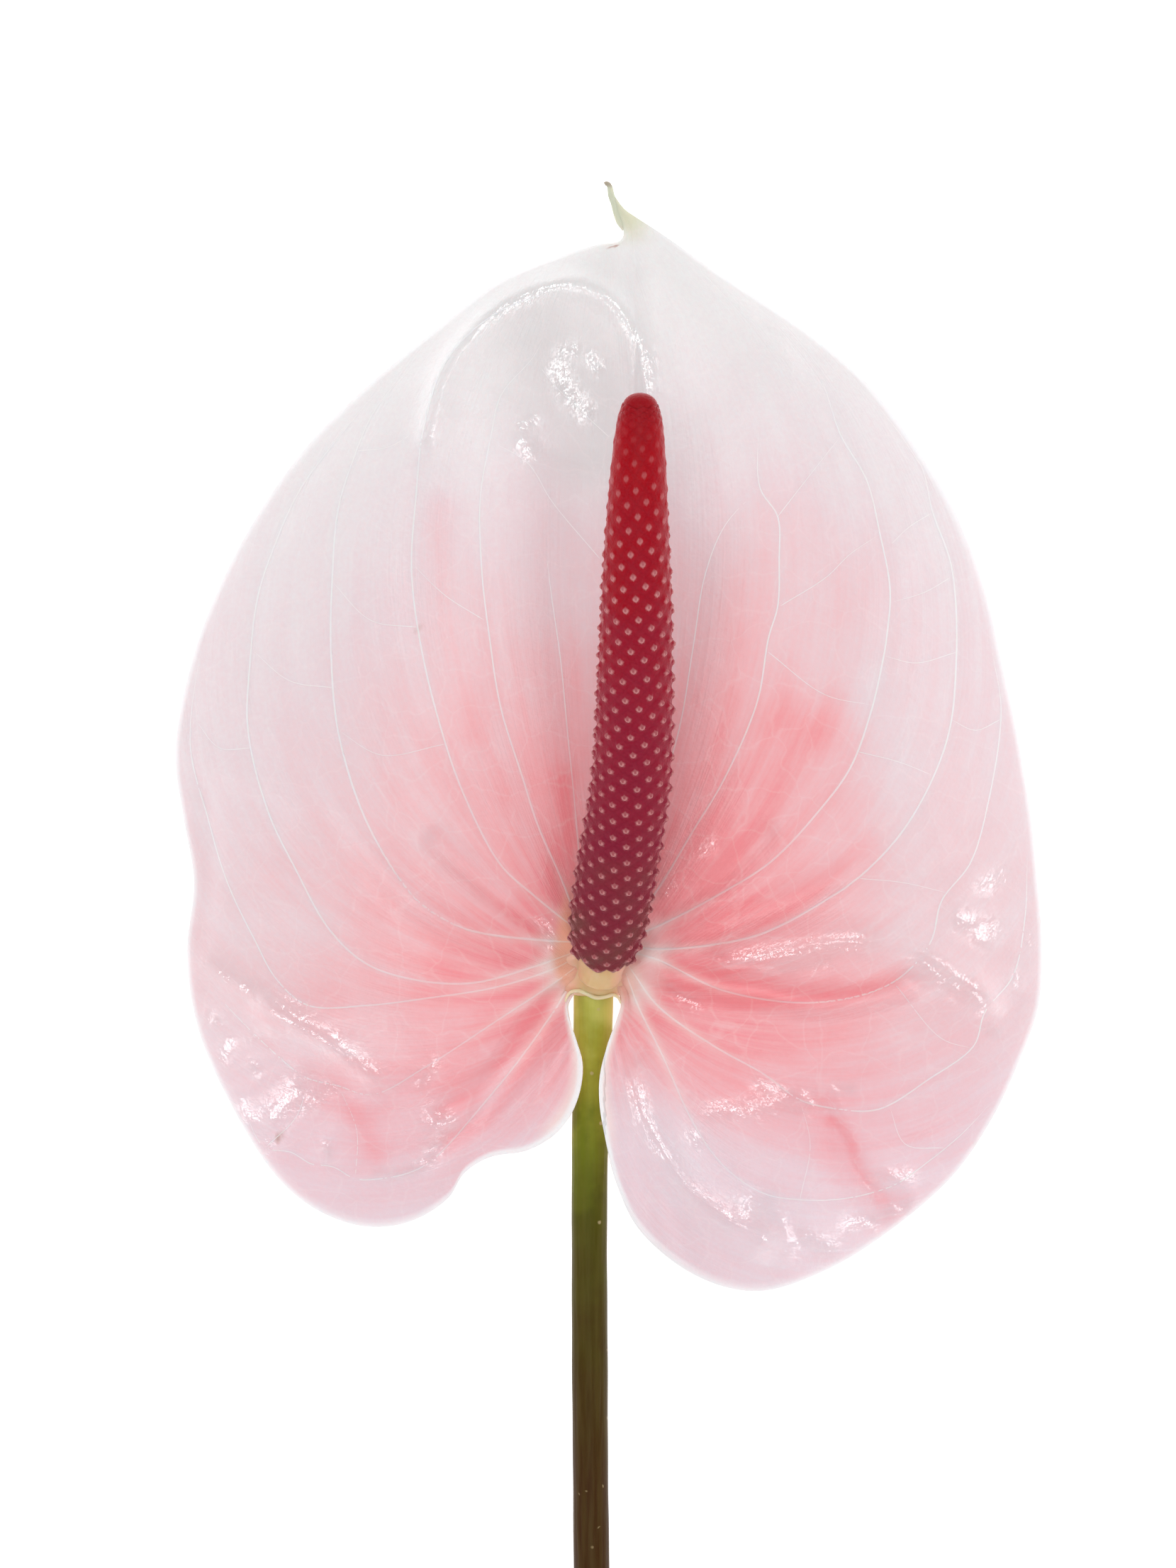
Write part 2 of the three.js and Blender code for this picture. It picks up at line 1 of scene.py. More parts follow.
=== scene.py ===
"""A cut anthurium flower lying face up: spathe with its veins and collar, spadix and stem."""

import math

import bpy
import numpy as np
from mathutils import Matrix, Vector
from mathutils.bvhtree import BVHTree


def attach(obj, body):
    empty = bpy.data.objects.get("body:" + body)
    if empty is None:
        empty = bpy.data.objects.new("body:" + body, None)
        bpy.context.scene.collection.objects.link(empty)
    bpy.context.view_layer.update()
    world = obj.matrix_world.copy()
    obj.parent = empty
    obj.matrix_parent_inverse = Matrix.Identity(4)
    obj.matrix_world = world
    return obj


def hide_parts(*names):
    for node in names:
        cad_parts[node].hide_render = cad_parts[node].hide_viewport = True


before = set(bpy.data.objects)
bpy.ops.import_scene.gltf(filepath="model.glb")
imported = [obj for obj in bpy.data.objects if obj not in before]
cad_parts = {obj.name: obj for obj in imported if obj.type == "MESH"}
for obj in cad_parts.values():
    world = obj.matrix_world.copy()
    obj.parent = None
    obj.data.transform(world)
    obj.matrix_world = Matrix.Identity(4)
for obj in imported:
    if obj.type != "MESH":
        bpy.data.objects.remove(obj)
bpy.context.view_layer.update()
bpy.ops.object.select_all(action="DESELECT")

# All lengths below are millimetres from the junction of stem, spathe and spadix.
MM = 0.001
JUNCTION = np.array([-0.55, 133.942, 12.015])
FLOOR_CLEARANCE = 0.02 * MM

# ------------------------------------------------------------------ the spathe's outline

BLADE_THICKNESS = 0.7
# How high the blade arches, as a share of its reach, and how late its margin drops.
BLADE_CROWN = 0.085
MARGIN_ROLL = 2.6
RAYS_UPPER = 140
RAYS_LOBE = 122
STEPS_ACROSS = 86
# Samples along the margin, and what is added to each step between them, so that no two rays fall together.
MARGIN_SAMPLES = 2000
RAY_EVENING_UPPER = 0.004
RAY_EVENING_LOBE = 0.01
# The blade thins over this width towards its margin.
THIN_MARGIN = 1.6
# Spacing of the points on a rounded stroke.
STROKE_STEP = 2.0

# Rays of the upper blade: a point on the midrib and the two points of the margin that it sends rays to.
BLADE_PAIRS = [
    ((0.4, 113.5, -2.5), (0.4, 113.5, -2.5), (0.4, 113.5, -2.5)),
    ((1, 111.8, -3.2), (0.5, 111.8, -3.3), (1.5, 111.9, -3.3)),
    ((2.1, 109.9, -4.1), (1.5, 109.7, -4.3), (2.8, 110.2, -4.3)),
    ((3.4, 107.9, -5), (2.7, 107.2, -5.3), (4.7, 108.9, -5.2)),
    ((3.9, 105.9, -5.4), (2.2, 105.8, -5.9), (7.7, 107, -5.8)),
    ((4.2, 103.3, -5.6), (-0.8, 105.3, -6.3), (11.2, 104.6, -6.3)),
    ((4.3, 99.5, -4.8), (-6.6, 103.5, -6.7), (15.2, 101.8, -6.6)),
    ((4.4, 94, -3.8), (-15.3, 99.8, -7.4), (21.5, 97.7, -7.2)),
    ((4.4, 86.5, -2.7), (-23.6, 93.5, -8.2), (29.2, 92.5, -7.8)),
    ((4.4, 77.5, -1.7), (-33.4, 85.5, -9.2), (37.3, 85.5, -8.5)),
    ((4.3, 67.5, -0.9), (-41.6, 77.5, -10), (44.2, 76.5, -9.2)),
    ((4, 56.5, -0.4), (-48.3, 68.5, -10.7), (49.9, 67, -9.9)),
    ((3.6, 45.5, 0), (-54.1, 58, -11.2), (53.9, 56.5, -10.6)),
    ((2.9, 34.5, 0.2), (-58.5, 46.5, -11.5), (56.6, 45, -11.1)),
    ((2.1, 24.5, 0.2), (-60.9, 33.5, -11.7), (58.7, 35, -11.5)),
    ((1.2, 15.5, 0.1), (-59.8, 24.5, -10.9), (60.4, 25, -11.7)),
    ((0.4, 8.5, -0.1), (-58.2, 15, -9.2), (61.3, 16, -11.2)),
    ((0, 4.5, -0.4), (-59.2, 5, -9.9), (62, 6.5, -10.4)),
]

# Rays of the lobes: the point of the margin, the pull that bends the ray, and its root in the collar.
LEFT_LOBE = [
    ((-57.7, -5.5, -9.6), (-28.9, 2), (0, 4.5)),
    ((-53.2, -16, -8.9), (-28, -0.8), (0, 4.5)),
    ((-46.6, -26.5, -8.3), (-27.3, -3.2), (0, 4.5)),
    ((-41.3, -31.1, -7.9), (-26.8, -4.4), (0, 4.5)),
    ((-34.4, -33.7, -7.3), (-25.6, -5.2), (0, 4.5)),
    ((-27.7, -33.1, -6.3), (-23, -4.8), (0, 4.5)),
    ((-22.1, -29.7, -5), (-20.4, -4.2), (-0.3, 4.2)),
    ((-19.8, -26.1, -3.8), (-18.8, -3.8), (-0.6, 3.9)),
    ((-16.3, -23.9, -3.4), (-17.2, -3.4), (-0.9, 3.6)),
    ((-10.7, -22.8, -2.4), (-15.7, -3), (-1.2, 3.3)),
    ((-6.3, -19.9, -0.6), (-14.2, -2.6), (-1.5, 3)),
    ((-3.9, -15.7, 1), (-12.6, -2.2), (-1.9, 2.6)),
    ((-3.2, -11, 2), (-10.9, -1.7), (-2.3, 2.2)),
    ((-4, -7.3, 2), (-9.3, -1.1), (-2.7, 1.8)),
    ((-5, -4.2, 1.2), (-7.6, -0.3), (-3, 1.5)),
    ((-5.3, -2.2, 0.7), (-5.9, 0.1), (-3.3, 1.2)),
    ((-4.7, -0.8, 0.4), (-4.6, 0.3), (-3.5, 1)),
    ((-3.7, 0.8, -0.1), (-3.7, 0.8), (-3.7, 0.8)),
]
RIGHT_LOBE = [
    ((61.5, -2.5, -9.7), (30.7, 2.5), (0, 4.5)),
    ((58.7, -10.5, -9.2), (29.5, 0.5), (0, 4.5)),
    ((54.9, -18.5, -8.8), (28, -2), (0, 4.5)),
    ((49.4, -26.5, -8.3), (27, -5), (0, 4.5)),
    ((40.2, -34.5, -7.9), (26, -8.2), (0, 4.5)),
    ((31.2, -40, -7.3), (25.4, -10.8), (0, 4.5)),
    ((21.7, -42.9, -6.4), (24.6, -12.7), (0, 4.5)),
    ((13.2, -40.8, -4.8), (21, -11.2), (0.1, 4.3)),
    ((5.2, -34.5, -2.4), (16.8, -8.9), (0.25, 4)),
    ((2, -28.5, -0.5), (14, -7.3), (0.4, 3.7)),
    ((0.3, -22, 1), (11.3, -5.7), (0.6, 3.3)),
    ((-0.7, -16.5, 2), (9.2, -4.2), (0.8, 2.9)),
    ((-0.7, -12.3, 2.4), (7.5, -3), (1, 2.5)),
    ((0.4, -7.8, 1.8), (6.2, -2), (1.2, 2.1)),
    ((1.7, -4.2, 1), (5, -0.9), (1.4, 1.7)),
    ((2.3, -2.2, 0.5), (3.7, 0.1), (1.6, 1.3)),
    ((2.3, -0.9, 0.3), (2.5, 0.4), (1.75, 1.05)),
    ((1.9, 0.8, -0.1), (1.9, 0.8), (1.9, 0.8)),
]

TAIL_PATH = [(2.6, 107.2, -5.6), (1.75, 109.3, -4.6), (1.2, 111.2, -3.7), (0.85, 112.7, -3), (0.65, 113.4, -2.7),
             (0.3, 113.75, -2.6), (0, 113.6, -2.6)]
TAIL_RADII = [0.15, 0.5, 0.46, 0.42, 0.42, 0.42, 0.3]

# Main folds, as soft strokes: path, rise and width. The same as in the solid.
FOLDS = [
    ([(-24.8, 77.5), (-22.3, 87.5), (-17.3, 94.5), (-11.3, 98.5), (-4.3, 99.5), (2.7, 95.5), (5.7, 84.5)], 1.5, 4.6),
    ([(-8, 84), (-6, 78)], -2.2, 13),
    ([(17.7, 4), (24.7, 6), (34.7, 7), (43.7, 5), (50.7, 1.5), (54, -1.5)], 2, 5),
    ([(8.7, 2), (19.7, 0.3), (29.7, -1.7), (38.7, -0.8), (43, 0.8)], -2, 4.6),
    ([(4.7, 6.5), (14.7, 8.5), (24.7, 12), (32.7, 16)], -1.2, 4),
    ([(7.7, 10.5), (15.7, 15.5), (22.7, 21.5)], -0.9, 3.6),
    ([(-47.3, -3.5), (-39.3, -6.5), (-32.3, -11.5)], 1.5, 6),
    ([(-6.3, -0.5), (-11.3, -7.5), (-17.3, -13.5), (-22.3, -16.5)], -1.5, 3.8),
    ([(-7.5, -5.5), (-11.3, -11.5), (-18.3, -18.5), (-23.3, -22.5)], -1.2, 3.4),
    ([(-5.3, 4.5), (-9.3, 9.5), (-15.3, 13.5), (-23.3, 20.5)], -1.2, 4),
    ([(-9.3, 5), (-18.3, 7.5), (-28.3, 13.5), (-36.3, 24.5)], -1, 4.4),
    ([(4.7, -12.5), (6.7, -19.5), (9.7, -25.5), (14.7, -30.5), (21.7, -35.5)], 1.6, 5.6),
    ([(29.7, -16.5), (34.7, -25.5), (39.7, -30.5)], -1.2, 5),
]

# The crisp crest of the arched fold, and the sharper creases and ribs of the margins and lobes: path, rise and width.
CRESTS = [
    ([(-25.6, 77.5), (-25.2, 81), (-24.2, 85.5), (-21.3, 90.5), (-16.3, 95.5), (-9.3, 99), (-4.3, 100),
      (-0.8, 99.2), (2.7, 95.5), (5, 91.5), (6, 88.5), (5.6, 84.5)], 0.12, 2.4),
    ([(17.7, 4), (24.7, 6), (34.7, 7), (43.7, 5), (50.7, 1.5)], -0.45, 2.9),
    ([(-56.5, 27), (-56, 16), (-57, 8)], -0.5, 3.4),
    ([(50, 21.5), (57, 21.5)], -0.2, 3),
    ([(-41, -12.5), (-37, -14.5)], -0.5, 3),
    ([(-28, -14), (-34, -20)], -0.5, 3),
    ([(-55.8, 3.5), (-49.5, -0.6), (-43, -5), (-37.5, -8.5), (-33.5, -11.5)], 0.35, 3.6),
    ([(-47.5, -19.5), (-42, -14.2)], 0.25, 1.6), ([(-44.8, -20.5), (-39.5, -15.2)], 0.2, 1.6),
    ([(-40.5, -24.5), (-37, -18)], 0.25, 1.8), ([(-35.5, -26), (-33, -20)], 0.2, 1.8),
    ([(-50.5, -14), (-46, -10.5)], 0.2, 1.6), ([(-31, -26), (-29.5, -20.5)], 0.2, 1.8),
    ([(31, -17), (33, -21), (37.5, -28)], -0.3, 2),
    ([(46.5, 12), (54, 13.5)], -0.15, 2.6),
    ([(49, 5.5), (57, 4)], -0.2, 2.6),
    ([(50, -3), (57.5, -1.5)], -0.2, 2.6),
]

# Small glossy puckers of the skin, which catch the light: path, and width.
GLINTS = [
    ([(-6.5, 87.2), (-5.3, 84.8), (-2.7, 81.5)], 2.1), ([(-5.8, 90), (-4.2, 90.3)], 1.4),
    ([(-1.8, 89), (-0.8, 87.8)], 1.4), ([(-11.8, 77.5), (-10.4, 75.9)], 2.2),
    ([(-11.8, 79.4), (-10, 80.2)], 1.3), ([(50.2, 9.5), (51.8, 9.6)], 1.9), ([(53.2, 7.2), (54.8, 8.6)], 1.9),
    ([(53.6, 14.4), (57, 16.3)], 1.6), ([(45.1, 4.1), (48.5, 1.5), (52.6, -0.2)], 2.6),
    ([(60, 6.3), (60.2, 7.4)], 1), ([(58.3, 0.8), (58.3, 1.6)], 1), ([(53.8, -3.2), (56.4, -3.4)], 1.4),
    ([(54.6, -6.1), (55.4, -6.1)], 1.3), ([(18.2, 3.6), (28.1, 5.3), (37.5, 6.9)], 2.4),
    ([(24, 2.8), (31, 4.3)], 1.6), ([(15.4, -17.2), (20, -17), (28.1, -15.6)], 2.2),
    ([(22, -13.4), (27.6, -16.4)], 1.8), ([(32.8, -14.2), (34.6, -14.2)], 1.6),
    ([(4.3, -14.3), (6, -18.6), (8.8, -23.8), (11.1, -27.5), (14.4, -30.3), (17.7, -33.2)], 2),
    ([(20, -31), (22.4, -33), (24.3, -37.4)], 3.4), ([(23.4, -29.8), (23.6, -33)], 2.2),
    ([(28, -35), (32, -36.6)], 1.9), ([(34.2, -33.4), (38, -32.9)], 1.5), ([(38, -27), (43, -26.6)], 1.5),
    ([(40, -31.9), (43.4, -30.6)], 1.2), ([(12.3, -20.6), (13.1, -21.6)], 1.4),
    ([(13.6, 19.4), (14.8, 20.4)], 1.2), ([(8.2, 13.2), (9.6, 15)], 1.1), ([(9.2, 0.2), (12.8, -2)], 1.1),
    ([(-56.4, 3.6), (-54, 2.2), (-50.5, 0.2)], 2.2), ([(-48.5, -1), (-43.5, -4)], 2.6),
    ([(-43.5, -5.2), (-39, -7.4)], 2.2), ([(-56, -4), (-55, -4.6)], 1.2), ([(-53, -7.6), (-54.4, -10.2)], 1.3),
    ([(-49.8, -10.6), (-49, -12)], 1), ([(-50, -6.8), (-47, -5.8)], 1.2),
    ([(-47.6, -18.4), (-45, -15.6), (-43.4, -14)], 2.8), ([(-42.4, -16.6), (-38.6, -13.8)], 1.5),
    ([(-51.2, -16.2), (-49.6, -19.6), (-47.8, -22)], 1.3), ([(-39.4, -22), (-39, -23.4)], 1),
    ([(-38, -8.4), (-33, -12.4)], 2.6), ([(-25.8, -13.4), (-24, -10.6)], 1.3),
    ([(-24, -18), (-23.6, -21.6)], 2.2), ([(-22.2, -18), (-21.2, -19.4)], 1.2),
    ([(-32, -26.2), (-28, -26), (-24.6, -24.1)], 1.3), ([(-8.6, 9.2), (-7.6, 6.6)], 1.8),
]
# How far a pucker rises.
GLINT_RISE = 0.16
# The glossy patch is this many times as wide as its pucker. The arch has one along its crest.
GLINT_SPREAD = 1.45
ARCH_GLOSS_WIDTH = 2.6
# Depths of the fine wrinkles in the skin and in its gloss, in metres.
SKIN_CRINKLE = 0.00003
GLOSSY_WRINKLE = 0.00007

# ------------------------------------------------------------------ veins

# Paths of the main veins from margin to junction, with the width of each at its foot.
VEINS = [
    ([(-8.3, 61.9), (-7.4, 54.8), (-6.2, 46.4), (-5.2, 36), (-4.2, 26), (-3.2, 14)], 0.34),
    ([(-7.8, 93.5), (-10, 89.3), (-14.6, 83.8), (-16.1, 77.5), (-17.5, 69.5), (-17.3, 59), (-16.2, 49.5),
      (-14.6, 39.6), (-11.5, 29.7), (-9.5, 23.4), (-5.9, 15.1), (-3.6, 9)], 0.42),
    ([(-2.4, 99.8), (-15, 95.6), (-22.2, 88.9), (-25.5, 79.2), (-26.6, 69.5), (-27.2, 59), (-26, 49),
      (-23.3, 37.6), (-19.8, 27.4), (-14.6, 17.5), (-10.3, 13.5), (-4, 8.4)], 0.46),
    ([(-25.9, 89.3), (-32.3, 82.1), (-35.6, 74.6), (-37.7, 67.4), (-38.5, 56.9), (-38.6, 47.6), (-37.6, 36.5),
      (-34, 24.6), (-28.9, 15.5), (-25.7, 11.9), (-19.4, 8.4), (-7.9, 6.8), (-4.5, 6.6)], 0.46),
    ([(-30.2, 86.8), (-37.3, 78.4), (-43.2, 70.4), (-47, 61.9), (-49.1, 55.2), (-50.1, 46.5), (-50.4, 36.5),
      (-47.5, 25), (-43.5, 16.7), (-38.8, 8.4), (-33.6, 3.6), (-26.5, 1.3), (-18.6, 0.9), (-9.9, 3.2),
      (-4.8, 5)], 0.46),
    ([(-51.6, 62.8), (-55, 55.6), (-57, 48.7), (-58.7, 34.5), (-56.2, 24.2), (-53.4, 15.1), (-49.4, 6.8),
      (-46.3, 1.3), (-41.9, -2.3), (-33.6, -2.3), (-25.3, -1.3), (-15.3, 0.3), (-7.3, 2.8), (-4.5, 4.2)], 0.4),
    ([(-56.2, 0.5), (-51.4, -4.6), (-45.5, -10.1), (-42.3, -12.5), (-37.6, -13.7), (-32.8, -14.9), (-25.3, -11),
      (-15.3, -4.5), (-6.3, 1.4), (-4.2, 3)], 0.36),
    ([(-51.4, -16.1), (-48.3, -22.4), (-44.3, -23.2), (-41.5, -24.8), (-38.4, -25.2), (-35.2, -26.9),
      (-32, -26.9), (-27.3, -25.9), (-24.1, -24), (-17.3, -16.5), (-11.3, -9), (-6.8, -2.6),
      (-4.4, 1.6)], 0.36),
    ([(21.7, 80.1), (21.9, 70.7), (24.4, 66.6), (24.6, 60.5), (24.4, 54), (23.1, 49.5), (21.5, 40.5),
      (17, 29.9), (12.1, 21.7), (8.5, 15.6), (3.8, 8.6)], 0.46),
    ([(21.9, 70.7), (17, 65.4), (14.2, 58.5), (12.5, 48.3), (10.7, 37.5), (7.7, 26.5), (5.2, 17.5),
      (2.8, 9)], 0.36),
    ([(26.8, 91.1), (30.5, 86.2), (33.4, 78.1), (37, 71.9), (38.9, 64.2), (40.3, 56.4), (39.9, 50.3),
      (39.1, 45.5), (37.4, 38.5), (34.6, 31.1), (30.1, 25), (23.6, 18.1), (16.6, 13.6), (7.2, 8.7),
      (3.6, 7.4)], 0.48),
    ([(38.3, 83), (44.8, 74), (46.4, 67.5), (48.9, 60.5), (49.7, 54.4), (49.7, 45.5), (48.9, 37.3),
      (46.8, 30.7), (42.3, 22.6), (36.6, 16.4), (30.9, 12.4), (21.1, 7.5), (7.2, 5.6), (3.6, 6.2)], 0.46),
    ([(51.3, 63.4), (54.2, 55.6), (55, 47.5), (56.2, 39.3), (54.2, 25.8), (51.7, 17.7), (47.6, 12.4),
      (46, 6.6), (40.7, 0.9), (30.1, -1.9), (17, -0.3), (7.2, 4.2), (3.6, 5.2)], 0.44),
    ([(59.9, 29.1), (59.9, 17.7), (59.5, 9.5), (57.8, 1.7), (53.8, -3.2), (52.2, -8.1), (45.8, -12.8),
      (38.7, -17), (33.2, -17), (27.7, -15.7), (22.3, -11.9), (15.5, -8.1), (7.5, -2.4), (3.4, 3.2)], 0.42),
    ([(55.5, -15.3), (50.9, -20.3), (45.8, -24.5), (40.8, -27.9), (34.5, -29.6), (27.7, -29.8), (22.3, -28.8),
      (16.8, -25), (12.6, -19.1), (8.2, -9.5), (4.6, -2.2), (3, 2.2)], 0.38),
]
CROSS_VEINS = [
    [(-9.7, 88.5), (-6.6, 84.7), (0.6, 77.9)],
    [(-16.1, 77.3), (-10.8, 74.1), (-7.4, 68.7), (-0.7, 60.7)],
    [(33.4, 78.1), (28.9, 72.4), (24.4, 66.6)],
    [(38.9, 64.2), (34.6, 61.3), (31.3, 58.1), (24.8, 54)],
    [(40.3, 62.6), (43, 65.2), (46, 67.1)],
    [(40.7, 54.6), (45.2, 56), (48.9, 58.1)],
    [(-26.2, 79), (-30.5, 76.5), (-35, 76)],
    [(-27.2, 60), (-22.5, 55.5), (-17, 52)],
    [(-38.5, 57.5), (-33, 52), (-26.5, 51)],
    [(-50, 48), (-44.5, 43.5), (-38.4, 42.5)],
    [(-37.6, 36.5), (-31.5, 33), (-22.6, 34.5)],
    [(-58, 38), (-54.5, 34), (-50.2, 34)],
    [(39.4, 47), (44, 46), (49.6, 47.5)],
    [(49, 38), (52.5, 36.5), (56, 38)],
    [(37.8, 40), (31, 41.5), (23, 47.5)],
    [(46.6, 30), (41.5, 32), (35.5, 33.5)],
    [(48.5, 13.5), (42, 15), (35.6, 15.6)],
    [(52, -8.5), (47.5, -7), (41, 0.6)],
    [(40.2, -16.6), (42.5, -22), (48, -22.6)],
    [(27.6, -15.8), (29, -22), (27.6, -29.6)],
    [(-41.8, -12.6), (-43.5, -18), (-47.8, -22.4)],
    [(-37.4, -14), (-35, -20), (-35.2, -26.6)],
]
CROSS_VEIN_WIDTH = 0.2
# Share of the given widths that the veins are built at, and share of its height that a vein's round form keeps.
VEIN_SLIMMING = 0.76
VEIN_FLATNESS = 0.18
VEIN_STEP = 0.8
# How far inside the margin a vein stops.
VEIN_END_INSET = 0.9
VEIN_GROOVE = 0.10
VEIN_GROOVE_WIDTH = 3.0
# A height in metres that is clear of the blade, above or below it.
CLEAR_ABOVE = 0.06

# ------------------------------------------------------------------ colour of the spathe

# How far the pink flush reaches from the junction, by direction in degrees from +X, and how it fades with the
# share of that reach.
FLUSH_REACH = [(0, 39), (20, 39), (40, 43), (60, 49), (75, 49), (90, 45), (105, 44), (120, 41), (135, 35), (160, 36),
               (180, 38), (200, 36), (215, 31), (230, 25), (245, 16), (260, 12), (285, 12), (300, 14), (315, 26),
               (330, 34), (345, 38), (360, 39)]
FLUSH_FADE = [(0, 0.93), (0.45, 0.78), (0.75, 0.63), (1, 0.47), (1.2, 0.33), (1.45, 0.21), (1.7, 0.12), (2, 0.04),
              (2.4, 0)]
# The least flush, by distance from the junction towards the tail.
FLUSH_FLOOR = [(-45, 0.26), (-10, 0.25), (20, 0.21), (40, 0.16), (60, 0.11), (75, 0.06), (85, 0.03), (100, 0.01)]
# Stronger and weaker streaks of it, as soft strokes: path, strength and width.
FLUSHES = [
    ([(12, 12), (20, 24), (27, 34), (29, 37)], 0.18, 12),
    ([(9, 1.6), (22, 0.4), (32, 0), (41, 1.6)], 0.18, 5),
    ([(14, 8), (28, 13), (36, 19)], 0.10, 6),
    ([(22, 66), (20, 48), (15, 32)], 0.10, 8),
    ([(31, 62), (36, 56)], 0.06, 14),
    ([(42, 8), (42.5, 20), (40.5, 32), (37.5, 42)], -0.13, 11),
    ([(29.5, -16.5), (34.5, -25.5), (41, -31)], 0.14, 7),
    ([(-23, 67.5), (-22.5, 50), (-18.5, 36)], 0.12, 5),
    ([(-5.8, 29), (-6.4, 14)], 0.22, 5),
    ([(-14, 14), (-25, 21)], -0.10, 5),
    ([(-5, -4), (-13, -9.5), (-20, -14)], 0.05, 6),
    ([(-38, -15), (-33, -19)], 0.10, 7),
    ([(-8, 2), (-22, 1.5)], 0.10, 13),
    ([(-34, -23.5), (-28, -22)], 0.08, 5),
    ([(-44, -8), (-36, -9)], -0.10, 5),
    ([(7, -12), (12, -24)], -0.06, 7),
    ([(8, -4), (22, -7), (34, -9)], 0.05, 9),
    # The next four narrow strokes follow the creases of the folds; their deeper pink is partly flush and partly
    # painted shade in the creases.
    ([(6.4, 0.8), (15.8, -0.7), (22.9, -1.6), (30, -1.8), (37.1, -0.7), (40.8, 0.8)], 0.20, 2.2),
    ([(31.9, -18.6), (34.7, -20.9), (35.6, -25.2), (39.4, -29.9)], 0.20, 1.8),
    ([(-8, -4.4), (-11.1, -9.9), (-13.5, -14.2), (-16, -17.9), (-22.1, -21.9)], 0.2, 2),
    ([(-7.4, -0.1), (-9.3, -2.6), (-12.3, -6.9), (-16, -12.4), (-23.3, -17.3)], 0.2, 2),
    ([(-35.5, -17.3), (-32, -23.8)], 0.12, 3),
    ([(26, 38), (33, 36)], 0.12, 8),
    ([(37, -13), (42, -20)], 0.07, 12),
    ([(-20, -4), (-34, -3)], -0.12, 5),
    ([(-38, 10), (-50, 9)], -0.09, 9),
    ([(-30, -22), (-38, -20)], -0.06, 7),
    ([(-6, -3.5), (-12, -9.5), (-15.5, -14)], -0.22, 7),
]
# Painted shade in the dish inside the arched fold: a paler, greyish patch that stands for the hollow's shade.
DISH_SHADE_PAINT = [([(-9, 92), (-3, 84), (-1, 76)], 0.75, 15)]
# A cooler tint over the lobes.
LOBE_TINT = (0.995, 0.975, 1.03, 1.0)
# Where the spadix stands over the spathe, and how far from it the peach and the pale ring reach.
SPADIX_FOOT_LINE = [(-0.3, 4.4), (1.6, 16.3), (3, 25)]
PEACH_ROUND_SPADIX = 6.9
PALE_ROUND_SPADIX = 9.5
GREEN_TAIL_Y = 104
# The distance from the junction at which all fibres would have swung round to the tail.
FIBRE_SWING = 112.0
# Brown spots: place and size.
SPOTS = [((-46, -20.6), 0.42), ((-46.2, -21.4), 0.36), ((-45.5, -20.2), 0.32), ((-40.5, 56.5), 0.5),
         ((-26.1, 50.5), 0.4), ((12.8, -41.6), 0.5), ((52.9, -22.5), 0.5), ((0.9, 105), 0.3),
         ((1.6, 105), 0.3), ((-59.3, 1), 0.5)]

# ------------------------------------------------------------------ helpers


def scene_point(points):
    """Millimetres from the junction to metres in the frame."""
    return (np.asarray(points, float) + JUNCTION) * MM


def from_junction(points):
    """Metres in the frame to millimetres from the junction."""
    return points / MM - JUNCTION


def step_lengths(line):
    return np.linalg.norm(np.diff(line, axis=0), axis=1)


def run_along(steps):
    """Length from the start of a line to each of its points."""
    return np.concatenate([[0], np.cumsum(steps)])


def read_off(at, run, rows):
    """Rows of numbers at places between the given ones."""
    return np.stack([np.interp(at, run, column) for column in rows.T], axis=1)


def spline(points, shares):
    """Points at shares from 0 to 1 of a centripetal curve through the given points, evenly by knot."""
    p = np.asarray(points, float)
    last = len(p) - 1
    padded = np.vstack([2 * p[0] - p[1], p, 2 * p[-1] - p[-2]])
    place = np.clip(np.asarray(shares, float), 0, 1) * last
    i = np.minimum(place.astype(int), last - 1)
    t = (place - i)[:, None]
    x0, x1, x2, x3 = (padded[i + k] for k in range(4))
    gap = [np.maximum(((b - a) ** 2).sum(1) ** 0.25, 0)[:, None] for a, b in ((x0, x1), (x1, x2), (x2, x3))]
    d1 = np.where(gap[1] < 1e-4, 1, gap[1])
    d0 = np.where(gap[0] < 1e-4, d1, gap[0])
    d2 = np.where(gap[2] < 1e-4, d1, gap[2])
    m1 = ((x1 - x0) / d0 - (x2 - x0) / (d0 + d1) + (x2 - x1) / d1) * d1
    m2 = ((x2 - x1) / d1 - (x3 - x1) / (d1 + d2) + (x3 - x2) / d2) * d1
    return x1 + m1 * t + (3 * (x2 - x1) - 2 * m1 - m2) * t**2 + (2 * (x1 - x2) + m1 + m2) * t**3


def even_spline(points, spacing):
    """The same curve as points a given distance apart."""
    fine = spline(points, np.linspace(0, 1, 60 * len(points)))
    run = run_along(step_lengths(fine))
    steps = max(int(round(run[-1] / spacing)), 2)
    return read_off(np.linspace(0, run[-1], steps + 1), run, fine)


def distance_to(xy, path):
    """Distance in plan of each point to a path of straight stretches."""
    nearest = np.full(len(xy), np.inf)
    for a, b in zip(np.asarray(path[:-1], float), np.asarray(path[1:], float)):
        run = b - a
        t = np.clip(((xy - a) @ run) / (run @ run), 0, 1)
        nearest = np.minimum(nearest, np.linalg.norm(xy - a - t[:, None] * run, axis=1))
    return nearest


def strokes(xy, rows):
    """Sum of soft strokes, each with its path, height and width. A path with a turn in it is rounded off."""
    total = np.zeros(len(xy))
    for path, high, width in rows:
        course = even_spline(path, STROKE_STEP) if len(path) > 2 else path
        total += high * np.exp(-((2 * distance_to(xy, course) / width) ** 2))
    return total


def step_between(low, high, x):
    """0 up to low, 1 from high on, and a smooth rise between them. Low may be the larger of the two."""
    t = np.clip((x - low) / (high - low), 0, 1)
    return t * t * (3 - 2 * t)


